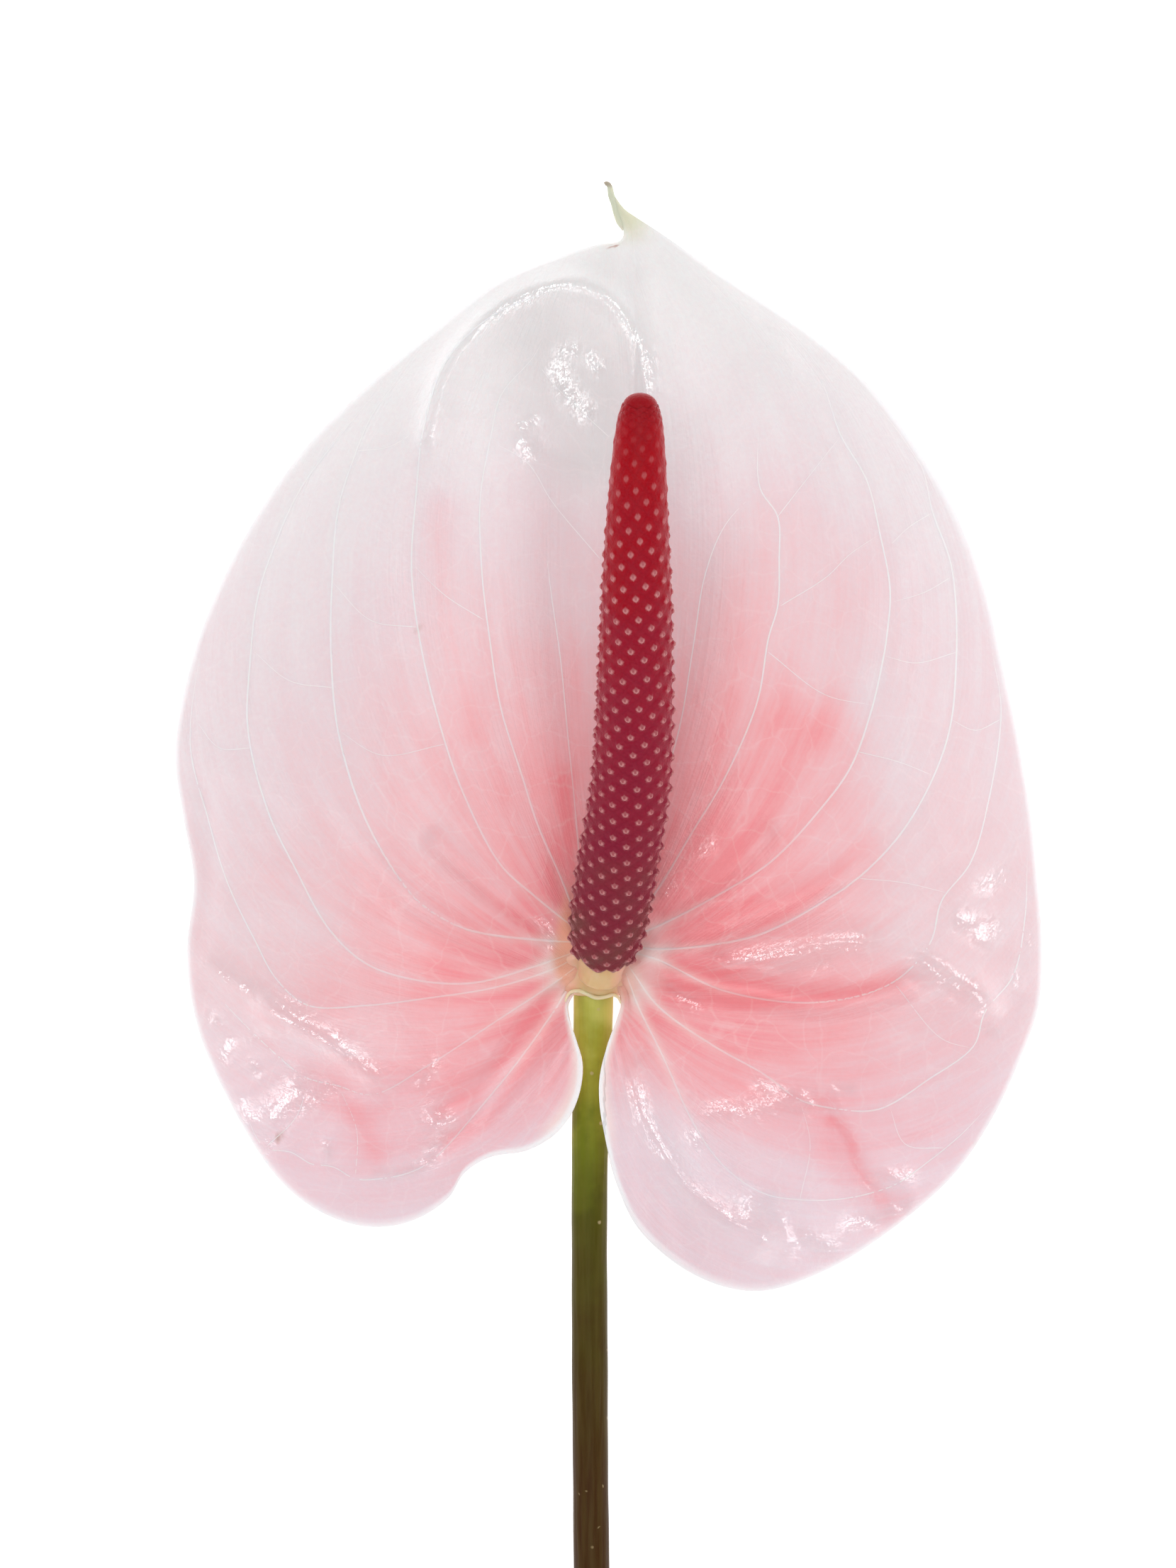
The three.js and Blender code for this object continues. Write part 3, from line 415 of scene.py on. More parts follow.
def waves(xy, size, turn):
    """Gentle uneven bumps about 1 high, a given size across."""
    x, y = xy.T / size
    c, s = math.cos(turn), math.sin(turn)
    u, v = c * x + s * y, c * y - s * x
    return (
        np.sin(5.1 * u + 1.3 * np.sin(2.3 * v + 0.7))
        + np.sin(4.3 * v + 1.7 * np.sin(1.9 * u - 0.4))
        + np.sin(3.7 * (u + v) + 1.1 * np.sin(3.1 * (u - v)))
    ) / 3


def only(piece):
    bpy.ops.object.select_all(action="DESELECT")
    piece.select_set(True)
    bpy.context.view_layer.objects.active = piece
    return piece


def read_vertices(piece, what):
    values = np.empty(len(piece.data.vertices) * 3)
    piece.data.vertices.foreach_get(what, values)
    return values.reshape(-1, 3)


def place_points(piece, points):
    piece.data.vertices.foreach_set("co", np.asarray(points, float).ravel())
    piece.data.update()


def lift_off_floor(piece):
    """Keeps a piece above the table, and gives its points in millimetres from the junction."""
    points = read_vertices(piece, "co")
    points[:, 2] = np.maximum(points[:, 2], FLOOR_CLEARANCE)
    place_points(piece, points)
    return from_junction(points)


def grid_piece(name, columns, rows):
    """A flat grid from which a piece is shaped, with the column and row of each vertex."""
    bpy.ops.mesh.primitive_grid_add(x_subdivisions=columns, y_subdivisions=rows, size=2)
    piece = bpy.context.active_object
    piece.name = name
    x, y, _ = read_vertices(piece, "co").T
    column = np.rint((x + 1) / 2 * columns).astype(int)
    row = np.rint((y + 1) / 2 * rows).astype(int)
    return piece, column, row


def ball(radii, segments, direction, centre):
    """A closed ball with three radii, its third axis along a direction."""
    bpy.ops.mesh.primitive_uv_sphere_add(segments=segments, ring_count=segments // 2, radius=MM)
    piece = bpy.context.active_object
    piece.scale = radii
    return aim(piece, direction, centre)


def tubes(name, courses, resolution):
    """Round closed tubes as one mesh, each with its points in metres and its radii in millimetres."""
    bpy.ops.curve.primitive_nurbs_path_add()
    curve = bpy.context.active_object
    curve.name = name
    curve.data.splines.clear()
    for points, radii in courses:
        stretch = curve.data.splines.new("POLY")
        stretch.points.add(len(points) - 1)
        for point, where, radius in zip(stretch.points, points, radii):
            point.co = (*where, 1)
            point.radius = radius
    curve.data.dimensions = "3D"
    curve.data.bevel_depth = MM
    curve.data.bevel_resolution = resolution
    curve.data.use_fill_caps = True
    only(curve)
    bpy.ops.object.convert(target="MESH")
    piece = bpy.context.active_object
    piece.matrix_world.identity()
    return piece


def join(first, *others):
    only(first)
    for other in others:
        other.select_set(True)
    bpy.ops.object.join()
    return first


def in_edit(piece, *steps, select_all=True):
    """Runs edit-mode steps on all of a piece, or on what is selected in it."""
    only(piece)
    bpy.ops.object.mode_set(mode="EDIT")
    if select_all:
        bpy.ops.mesh.select_all(action="SELECT")
    for step in steps:
        step()
    bpy.ops.object.mode_set(mode="OBJECT")


def face_outward(piece):
    in_edit(piece, lambda: bpy.ops.mesh.normals_make_consistent(inside=False))


def weld(piece, threshold):
    """Merges the vertices that lie closer together than a distance in metres."""
    in_edit(piece, lambda: bpy.ops.mesh.remove_doubles(threshold=threshold))


def apply_modifier(piece, kind, **settings):
    only(piece)
    modifier = piece.modifiers.new(kind.title(), kind)
    for key, value in settings.items():
        setattr(modifier, key, value)
    bpy.ops.object.modifier_apply(modifier=modifier.name)


def aim(piece, direction, centre):
    """Turns a piece's +Z towards a direction and sets it at a centre."""
    piece.rotation_mode = "QUATERNION"
    piece.rotation_quaternion = Vector((0, 0, 1)).rotation_difference(Vector(direction))
    piece.location = Vector(scene_point(centre))
    only(piece)
    bpy.ops.object.transform_apply(location=True, rotation=True, scale=True)
    return piece


def paint(piece, **masks):
    """Values on each vertex, which the materials read by name."""
    for name, values in masks.items():
        layer = piece.data.attributes.get(name) or piece.data.attributes.new(name, "FLOAT", "POINT")
        everywhere = np.broadcast_to(np.asarray(values, np.float32).ravel(), len(piece.data.vertices))
        layer.data.foreach_set("value", np.ascontiguousarray(everywhere))


def painted_on(piece, *names):
    """The values that were painted on each vertex."""
    found = []
    for name in names:
        values = np.empty(len(piece.data.vertices), np.float32)
        piece.data.attributes[name].data.foreach_get("value", values)
        found.append(values.astype(float))
    return found


def smooth(piece, degrees):
    only(piece)
    bpy.ops.object.shade_smooth_by_angle(angle=math.radians(degrees))


def dress(piece, slot, material, *stands_for):
    piece.data.materials.clear()
    piece.data.materials.append(material)
    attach(piece, "root")
    if stands_for:
        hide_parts(*stands_for)


# ------------------------------------------------------------------ materials


def srgb(*values):
    """A colour given as 0 to 255 on screen, as the shader's linear values."""
    linear = [v / 255 / 12.92 if v <= 10 else ((v / 255 + 0.055) / 1.055) ** 2.4 for v in values]
    return (*linear, 1.0)


def add(tree, kind, **settings):
    node = tree.nodes.new(kind)
    for key, value in settings.items():
        setattr(node, key, value)
    return node


def put(tree, socket, value):
    """Links a socket to another, or sets it to a value."""
    if isinstance(value, bpy.types.NodeSocket):
        tree.links.new(value, socket)
    else:
        socket.default_value = value


def feed(tree, node, **values):
    """Links or sets a node's inputs by their names, with _ for a space."""
    for label, value in values.items():
        put(tree, node.inputs[label.replace("_", " ")], value)
    return node


def mixer(tree, share, a, b, blend="MIX"):
    node = add(tree, "ShaderNodeMix", data_type="RGBA", blend_type=blend, clamp_factor=True)
    for socket, value in ((node.inputs[0], share), (node.inputs[6], a), (node.inputs[7], b)):
        put(tree, socket, value)
    return node.outputs[2]


def layered(tree, colour, *layers):
    """A colour with others laid over it in turn, each given with its share."""
    for share, over in layers:
        colour = mixer(tree, share, colour, over)
    return colour


def reckon(tree, operation, *values):
    node = add(tree, "ShaderNodeMath", operation=operation)
    for socket, value in zip(node.inputs, values):
        put(tree, socket, value)
    return node.outputs[0]


def ramp(tree, value, stops):
    """Colours by a value, each stop with its place from 0 to 1 and its linear colour."""
    node = add(tree, "ShaderNodeValToRGB")
    elements = node.color_ramp.elements
    elements[0].position, elements[0].color = stops[0]
    elements[1].position, elements[1].color = stops[-1]
    for position, color in stops[1:-1]:
        elements.new(position).color = color
    tree.links.new(value, node.inputs[0])
    return node.outputs[0]


def shades(tree, value, *stops):
    """Colours by a value, each stop with its place from 0 to 1 and its screen colour."""
    return ramp(tree, value, [(place, srgb(*colour)) for place, *colour in stops])


def span(tree, value, low, high, out_low=0.0, out_high=1.0):
    """A smooth step of a value from one range to another."""
    node = add(tree, "ShaderNodeMapRange", interpolation_type="SMOOTHSTEP")
    for socket, number in zip(node.inputs[:5], (value, low, high, out_low, out_high)):
        put(tree, socket, number)
    return node.outputs[0]


def painted(tree, name, strength=None):
    """A mask that was painted on the piece, at full strength or less."""
    mask = add(tree, "ShaderNodeAttribute", attribute_name=name).outputs["Fac"]
    return mask if strength is None else reckon(tree, "MULTIPLY", mask, strength)


def about(tree, mask, swing):
    """A 0 to 1 mask as a change of plus or minus half of swing."""
    return reckon(tree, "MULTIPLY_ADD", mask, swing, -swing / 2)


def group_with(name, **inputs):
    """An empty node group with one Mask output. An input without a default takes a vector."""
    tree = bpy.data.node_groups.new(name, "ShaderNodeTree")
    for label, value in inputs.items():
        kind = "NodeSocketVector" if value is None else "NodeSocketFloat"
        socket = tree.interface.new_socket(label, in_out="INPUT", socket_type=kind)
        if value is not None:
            socket.default_value = value
    tree.interface.new_socket("Mask", in_out="OUTPUT", socket_type="NodeSocketFloat")
    return tree, add(tree, "NodeGroupInput").outputs, add(tree, "NodeGroupOutput")


def mottle_group():
    """Soft uneven patches, as in living tissue: 0 to 1 about a middle of 0.5."""
    tree, given, out = group_with("Tissue mottle", Vector=None, Scale=60.0, Detail=4.0)
    noise = feed(tree, add(tree, "ShaderNodeTexNoise", noise_dimensions="3D"),
                 Vector=given["Vector"], Scale=given["Scale"], Detail=given["Detail"])
    feed(tree, out, Mask=span(tree, noise.outputs[0], 0.28, 0.72))
    return tree


def net_group():
    """The loose net of the finest veins: 1 on a vein, 0 off it."""
    tree, given, out = group_with("Fine vein net", Vector=None, Scale=110.0, Width=0.03, Wander=0.004)
    noise = feed(tree, add(tree, "ShaderNodeTexNoise", noise_dimensions="3D"), Vector=given["Vector"], Scale=150.0)
    sway = feed(tree, add(tree, "ShaderNodeVectorMath", operation="SCALE"),
                Vector=noise.outputs["Color"], Scale=given["Wander"])
    moved = add(tree, "ShaderNodeVectorMath", operation="ADD")
    put(tree, moved.inputs[0], given["Vector"])
    put(tree, moved.inputs[1], sway.outputs[0])
    cells = feed(tree, add(tree, "ShaderNodeTexVoronoi", feature="DISTANCE_TO_EDGE"),
                 Vector=moved.outputs[0], Scale=given["Scale"])
    near = reckon(tree, "DIVIDE", cells.outputs["Distance"], given["Width"])
    feed(tree, out, Mask=reckon(tree, "SUBTRACT", 1.0, near))
    return tree


def fibre_group():
    """Fine streaks along the fibres, which fan out from the junction: 0 to 1 about 0.5."""
    tree, given, out = group_with("Fibre streaks", Fibre=0.0, Away=0.0, Closeness=0.3, Length=25.0)
    where = feed(tree, add(tree, "ShaderNodeCombineXYZ"),
                 X=reckon(tree, "MULTIPLY", given["Fibre"], given["Closeness"]),
                 Y=reckon(tree, "DIVIDE", given["Away"], given["Length"]))
    noise = feed(tree, add(tree, "ShaderNodeTexNoise", noise_dimensions="2D"),
                 Vector=where.outputs[0], Scale=1.0, Detail=3.0)
    feed(tree, out, Mask=span(tree, noise.outputs[0], 0.25, 0.75))
    return tree


MOTTLE, NET, FIBRES = mottle_group(), net_group(), fibre_group()


def effect(tree, group, **values):
    return feed(tree, add(tree, "ShaderNodeGroup", node_tree=group), **values).outputs["Mask"]


def mottle(tree, place, scale, detail):
    return effect(tree, MOTTLE, Vector=place, Scale=scale, Detail=detail)


def fibres(tree, closeness, length):
    return effect(tree, FIBRES, Fibre=painted(tree, "fibre"), Away=painted(tree, "away"), Closeness=closeness,
                  Length=length)


def skin(name, **settings):
    """A material with its tree, its Principled shader, and the Object coordinates."""
    material = bpy.data.materials.new(name)
    material.use_nodes = True
    tree = material.node_tree
    shader = feed(tree, tree.nodes["Principled BSDF"], **settings)
    return material, tree, shader, add(tree, "ShaderNodeTexCoord").outputs["Object"]


def bump(tree, shader, height, strength, distance, socket="Normal"):
    """Raises the skin by a height mask, to a distance in metres."""
    node = feed(tree, add(tree, "ShaderNodeBump"), Height=height, Strength=strength, Distance=distance)
    put(tree, shader.inputs[socket], node.outputs[0])


def spathe_colour(tree, place):
    """Pink flush over white, peach round the spadix, pale green at the tail, painted shade in the dish, and painted
    glow along the margin.
    """
    patches = about(tree, mottle(tree, place, 85.0, 3.0), 0.16)
    grain = about(tree, mottle(tree, place, 1600.0, 2.0), 0.035)
    streaks = about(tree, fibres(tree, 0.2, 22.0), 0.24)
    hairs = about(tree, fibres(tree, 1.1, 14.0), 0.10)
    uneven = reckon(tree, "ADD", patches, reckon(tree, "ADD", streaks, hairs))
    flush = reckon(tree, "MULTIPLY", painted(tree, "flush"), reckon(tree, "ADD", uneven, 1.0))
    pink = shades(
        tree, reckon(tree, "ADD", flush, grain),
        (0.0, 238, 238, 238), (0.11, 236, 228, 231), (0.22, 235, 216, 221), (0.34, 237, 207, 212),
        (0.47, 240, 195, 200), (0.62, 242, 182, 187), (0.80, 243, 165, 170), (1.0, 243, 144, 150),
    )
    return layered(
        tree, pink,
        (painted(tree, "lobe", 0.6), mixer(tree, 1.0, pink, LOBE_TINT, "MULTIPLY")),
        # Painted shade: grey over the dish in the arched fold.
        (painted(tree, "dish"), srgb(214, 212, 213)),
        # Pale veins and the pale ring round the spadix, with painted glow on the sinus edges.
        (painted(tree, "pale"), srgb(250, 228, 224)),
        (painted(tree, "peach"), srgb(245, 175, 143)),
        (painted(tree, "tail"), srgb(218, 220, 194)),
        (painted(tree, "tip"), srgb(172, 162, 142)),
        (painted(tree, "spot", 0.75), srgb(172, 116, 98)),
        # Painted glow along the margin, standing for light through the thin edge.
        (painted(tree, "rim", 0.85), srgb(252, 252, 254)),
    )


def spathe_skin():
    """Waxy and satin, glossier on the puckers, with a fine leathery crinkle that breaks up the reflections."""
    material, tree, shader, place = skin(
        "Waxy spathe", IOR=1.5, Coat_Roughness=0.09, Coat_IOR=1.95, Subsurface_Weight=0.15,
        Subsurface_Radius=(1.0, 0.55, 0.5), Subsurface_Scale=0.0015,
    )
    net = effect(tree, NET, Vector=place, Scale=150.0, Width=0.03, Wander=0.006)
    fine = mottle(tree, place, 420.0, 3.0)
    crinkle = reckon(tree, "MULTIPLY_ADD", fine, 1.5, mottle(tree, place, 1900.0, 2.0))
    ridges = reckon(tree, "MULTIPLY_ADD", fibres(tree, 1.6, 30.0), 1.2, crinkle)
    feed(
        tree, shader,
        Base_Color=mixer(tree, reckon(tree, "MULTIPLY", net, 0.12), spathe_colour(tree, place), srgb(250, 238, 238)),
        Roughness=span(tree, fine, 0.0, 1.0, 0.32, 0.42),
        Coat_Weight=reckon(tree, "MULTIPLY_ADD", painted(tree, "gloss"), 0.97, 0.03),
    )
    bump(tree, shader, reckon(tree, "MULTIPLY_ADD", net, 0.25, ridges), 0.7, SKIN_CRINKLE)
    bump(tree, shader, mottle(tree, place, 850.0, 3.0), 0.7, GLOSSY_WRINKLE, "Coat Normal")
    return material


def vein_skin():
    """The colour of the spathe round it, paler, and more so away from the junction."""
    material, tree, shader, place = skin(
        "Pale vein", Roughness=0.34, IOR=1.5, Coat_Weight=0.12, Coat_Roughness=0.12, Subsurface_Weight=0.15,
        Subsurface_Scale=0.0012,
    )
    share = span(tree, painted(tree, "away"), 22.0, 65.0, 0.28, 0.75)
    feed(tree, shader, Base_Color=mixer(tree, share, spathe_colour(tree, place), srgb(252, 246, 245)))
    return material


def collar_skin():
    """Cream, warmer at the foot of the spadix, rosy at the sides, and yellow-green underneath."""
    material, tree, shader, place = skin(
        "Cream collar", Roughness=0.36, IOR=1.42, Coat_Weight=0.3, Coat_Roughness=0.15, Subsurface_Weight=0.3,
        Subsurface_Scale=0.0015,
    )
    patches = mottle(tree, place, 260.0, 3.0)
    feed(tree, shader, Base_Color=layered(
        tree, srgb(216, 180, 126),
        (patches, srgb(224, 192, 144)),
        (painted(tree, "foot"), srgb(216, 168, 116)),
        (painted(tree, "side"), srgb(240, 186, 160)),
        (painted(tree, "under"), srgb(205, 196, 122)),
        (painted(tree, "lip", 0.8), srgb(240, 226, 190)),
    ))
    bump(tree, shader, patches, 0.2, 0.0004)
    return material


def spadix_skin():
    """Crimson skin with darker seams, a maroon foot, and a pale stigma on each floret."""
    material, tree, shader, place = skin(
        "Crimson florets", Coat_Weight=0.0, Subsurface_Weight=0.06, Subsurface_Scale=0.0008, Specular_IOR_Level=0.1,
        Sheen_Weight=0.65, Sheen_Roughness=0.3, Sheen_Tint=srgb(235, 184, 188),
    )
    patches = mottle(tree, place, 170.0, 4.0)
    grain = mottle(tree, place, 2600.0, 2.0)
    red = shades(
        tree, reckon(tree, "ADD", painted(tree, "along"), about(tree, patches, 0.12)),
        (0.0, 124, 34, 52), (0.2, 132, 24, 50), (0.5, 146, 22, 46), (0.72, 156, 6, 28), (0.9, 162, 0, 16),
        (1.0, 148, 6, 18),
    )
    colour = layered(
        tree, red,
        (painted(tree, "wear", patches), srgb(110, 66, 60)),
        (painted(tree, "seam", 0.14), srgb(90, 16, 32)),
        (reckon(tree, "MULTIPLY", grain, 0.05), srgb(190, 90, 106)),
        (painted(tree, "stigma", 0.8), srgb(214, 150, 150)),
        (painted(tree, "notch", 0.75), srgb(140, 40, 52)),
    )
    feed(tree, shader, Base_Color=colour, Roughness=span(tree, grain, 0.0, 1.0, 0.36, 0.5))
    bump(tree, shader, grain, 0.25, 0.00012)
    return material


def stem_skin():
    """Yellow-green under the collar, green, olive and then brown, with pale specks and fine lines along it."""
    material, tree, shader, place = skin(
        "Stem rind", Roughness=0.48, Coat_Weight=0.0, Subsurface_Weight=0.06, Subsurface_Scale=0.001,
        Specular_IOR_Level=0.1,
    )
    stretched = feed(tree, add(tree, "ShaderNodeMapping"), Vector=place, Scale=(1.0, 0.06, 1.0)).outputs[0]
    lines = mottle(tree, stretched, 1500.0, 3.0)
    rind = shades(
        tree, reckon(tree, "ADD", painted(tree, "down"), about(tree, mottle(tree, place, 130.0, 4.0), 0.06)),
        (0.0, 192, 192, 96), (0.05, 156, 158, 54), (0.11, 106, 112, 22), (0.18, 78, 76, 10), (0.30, 67, 50, 6),
        (0.42, 62, 34, 4), (0.7, 64, 36, 8), (1.0, 80, 60, 34),
    )
    cells = feed(tree, add(tree, "ShaderNodeTexVoronoi", feature="F1"), Vector=place, Scale=420.0)
    dots = span(tree, cells.outputs["Distance"], 0.16, 0.06)
    chosen = span(tree, mottle(tree, place, 700.0, 1.0), 0.6, 0.8)
    specks = reckon(tree, "MULTIPLY", reckon(tree, "MULTIPLY", dots, chosen), 0.6)
    feed(tree, shader, Base_Color=layered(
        tree, rind,
        (reckon(tree, "MULTIPLY", lines, 0.15), srgb(118, 108, 60)),
        (specks, srgb(190, 170, 128)),
        (painted(tree, "cut"), srgb(214, 206, 158)),
    ))
    bump(tree, shader, lines, 0.25, 0.0002)
    return material


def paper_white():
    material, tree, shader, place = skin(
        "White table", Roughness=0.6, Emission_Color=(1.0, 1.0, 1.0, 1.0), Emission_Strength=0.7,
    )
    faint = mottle(tree, place, 3.0, 1.0)
    feed(tree, shader, Base_Color=mixer(tree, faint, srgb(250, 250, 250), srgb(252, 252, 252)))
    return material


# ------------------------------------------------------------------ spathe


def ray_stations(side, lobe):
    """Places along the margin, by knot, close together where the margin is long. Both halves share the upper ones."""
    pairs = len(BLADE_PAIRS) - 1
    share = np.linspace(0, 1, MARGIN_SAMPLES)
    upper_edges = [spline([pair[column] for pair in BLADE_PAIRS], share) for column in (1, 2)]
    run = run_along(np.maximum(*map(step_lengths, upper_edges)) + RAY_EVENING_UPPER)
    upper = np.interp(np.linspace(0, run[-1], RAYS_UPPER + 1), run, share * pairs)
    lobe_edge = spline([BLADE_PAIRS[-1][side]] + [station[0] for station in lobe], share)
    run = run_along(step_lengths(lobe_edge) + RAY_EVENING_LOBE)
    lower = np.interp(np.linspace(0, run[-1], RAYS_LOBE + 1), run, share * len(lobe))
    return np.concatenate([upper, pairs + lower[1:]])


def half_blade(name, side, lobe):
    """One half of the blade's upper face, from the midrib to the margin."""
    stations = ray_stations(side, lobe)
    pairs = len(BLADE_PAIRS) - 1
    along = stations / (pairs + len(lobe))
    middles = [tuple((np.array(pair[0]) + np.array(pair[side]))[:2] / 2) for pair in BLADE_PAIRS]
    tip = spline([pair[side] for pair in BLADE_PAIRS] + [station[0] for station in lobe], along)
    pull = spline(middles + [station[1] for station in lobe], along)
    root = spline([pair[0] for pair in BLADE_PAIRS], stations / pairs)
    foot = BLADE_PAIRS[-1][0]
    lobe_roots = np.array([foot] + [(*station[2], foot[2]) for station in lobe])
    lower = stations > pairs
    root[lower] = read_off(stations[lower] - pairs, np.arange(len(lobe_roots)), lobe_roots)

    piece, column, row = grid_piece(name, len(stations) - 1, STEPS_ACROSS)
    across = row / STEPS_ACROSS
    v = across[:, None]
    r, b, t = root[column], pull[column], tip[column]
    plan = (1 - v) ** 2 * r[:, :2] + 2 * v * (1 - v) * b + v**2 * t[:, :2]
    reach = np.linalg.norm(t[:, :2] - r[:, :2], axis=1)
    crown = BLADE_CROWN * reach * 4 * across * (1 - across)
    height = r[:, 2] + (t[:, 2] - r[:, 2]) * across**MARGIN_ROLL + crown
    place_points(piece, scene_point(np.column_stack([plan, height])))
    paint(piece, across=across, reach=reach)
    return piece


def relief(xy, across, reach):
    """Folds, puckers, vein grooves and margin waves over the plain form of the blade."""
    x, y = xy.T
    clear = step_between(5.0, 12.0, np.hypot(x, y - 4))
    lobes = step_between(14.0, -8.0, y) * clear
    outer = step_between(0.45, 0.85, across) * clear * step_between(4, 14, reach)
    height = strokes(xy, FOLDS + CRESTS)
    puckers = strokes(xy, [(path, GLINT_RISE * min(width / 2, 1), width) for path, width in GLINTS])
    height += puckers * (1 + 0.4 * waves(xy, 4.2, 0.8) + 0.25 * waves(xy, 2.4, 2.6))
    height += strokes(xy, [(path, -VEIN_GROOVE, VEIN_GROOVE_WIDTH) for path, _ in VEINS]) * clear
    height += waves(xy, 26.0, 0.4) * (0.10 + 0.14 * lobes) * clear
    height += waves(xy, 11.0, 1.1) * (0.03 + 0.10 * lobes + 0.04 * outer) * clear
    height += waves(xy, 5.5, 2.0) * 0.035 * (lobes + outer)
    angle = np.arctan2(y - 4, x)
    height += np.sin(angle * 46 + 2 * np.sin(angle * 9)) * 0.10 * outer * across**2
    return height


def spathe_paint(piece, plan, across, reach, under):
    """Colour masks of the spathe, on every vertex."""
    x, y = plan.T
    away = np.hypot(x, y)
    angle = np.degrees(np.arctan2(y, x)) % 360
    from_margin = (1 - across) * reach
    beside_spadix = distance_to(plan, SPADIX_FOOT_LINE)

    turns, far = zip(*FLUSH_REACH)
    pink_reach = sum(np.interp((angle + off) % 360, turns, far) for off in range(-12, 13, 4)) / 7
    least = np.interp(y, *zip(*FLUSH_FLOOR))
    flush = np.hypot(np.interp(away / pink_reach, *zip(*FLUSH_FADE)), least) + strokes(plan, FLUSHES)

    # Fibres leave the junction in all directions and swing towards the tail as they run outwards.
    fibre = ((angle + 90) % 360 - 180) / (1 - np.minimum(away / FIBRE_SWING, 0.95) ** 2)

    peach = step_between(PEACH_ROUND_SPADIX + 0.8, PEACH_ROUND_SPADIX - 0.8, beside_spadix)
    peach *= step_between(17, 8, y) * step_between(7, -1, x)
    glow = strokes(plan, [(path, 0.42, 1.5) for path, _ in VEINS]) * step_between(26, 8, away)
    ring = step_between(PALE_ROUND_SPADIX + 1.5, PALE_ROUND_SPADIX - 2.5, beside_spadix) * step_between(12, 4, y)
    # Painted glow: the thin edges of the sinus are whitened, standing for light on and through them.
    sinus_glow = step_between(2.2, 0.3, from_margin) * step_between(-24, -18, y) * step_between(4, 0, y)
    sinus_glow *= step_between(9, 6, np.abs(x + 1.5))
    glossy = [(path, 1, width * GLINT_SPREAD) for path, width in GLINTS] + [(CRESTS[0][0], 1, ARCH_GLOSS_WIDTH)]
    # Painted glow: a near-white band along the margin, standing for light through its thin edge.
    rim = step_between(0.8, 0.25, from_margin) * step_between(3, 8, away) * step_between(108, 103, y)
    spots = sum(step_between(size, size * 0.4, np.hypot(*(plan - place).T)) for place, size in SPOTS)
    paint(
        piece, flush=np.clip(flush * (1 - 0.3 * under), 0, 1), fibre=fibre, away=away,
        # The dish mask is painted shade.
        lobe=step_between(5, -25, y), peach=0.85 * peach, dish=strokes(plan, DISH_SHADE_PAINT),
        # The pale mask holds painted glow at the sinus edges.
        pale=np.clip(np.maximum(glow + 0.45 * ring, 0.9 * sinus_glow), 0, 1), gloss=np.clip(strokes(plan, glossy), 0, 1),
        tail=step_between(GREEN_TAIL_Y, GREEN_TAIL_Y + 5, y) * step_between(8, 3.6, x),
        tip=step_between(112.9, 113.6, y), rim=rim, spot=spots,
    )


def make_blade():
    """Two halves joined at the midrib, with the folds raised, then thickened, with the tail added at the tip."""
    left = half_blade("spathe_blade", 1, LEFT_LOBE)
    right = half_blade("right_half", 2, RIGHT_LOBE)
    in_edit(left, bpy.ops.mesh.flip_normals)
    blade = join(left, right)
    weld(blade, 0.00001)
    face = read_vertices(blade, "co")
    across, reach = painted_on(blade, "across", "reach")
    face[:, 2] += relief(from_junction(face)[:, :2], across, reach) * MM
    place_points(blade, face)
    if sum(p.normal.z * p.area for p in blade.data.polygons) < 0:
        in_edit(blade, bpy.ops.mesh.flip_normals)
    body = blade.vertex_groups.new(name="body")
    for index, share in enumerate(np.clip((1 - across) * reach / THIN_MARGIN, 0.35, 1)):
        body.add([index], float(share), "REPLACE")
    apply_modifier(blade, "SOLIDIFY", thickness=BLADE_THICKNESS * MM, offset=-1, vertex_group="body",
                   thickness_vertex_group=0.3, use_rim=True)
    apply_modifier(blade, "BEVEL", width=0.0001, segments=2, limit_method="ANGLE", angle_limit=math.radians(50))
    join(blade, tail())
    local = lift_off_floor(blade)
    under = step_between(0.1, -0.1, read_vertices(blade, "normal")[:, 2])
    spathe_paint(blade, local[:, :2], *painted_on(blade, "across", "reach"), under)
    smooth(blade, 50)
    return blade


def tube(name, path, radii, spacing):
    """One tube along a curve, with its radii spread evenly along it."""
    line = even_spline(path, spacing)
    along = np.interp(np.linspace(0, 1, len(line)), np.linspace(0, 1, len(radii)), radii)
    piece = tubes(name, [(scene_point(line), along)], 4)
    face_outward(piece)
    return piece


def tail():
    return tube("tail", TAIL_PATH, TAIL_RADII, 0.25)


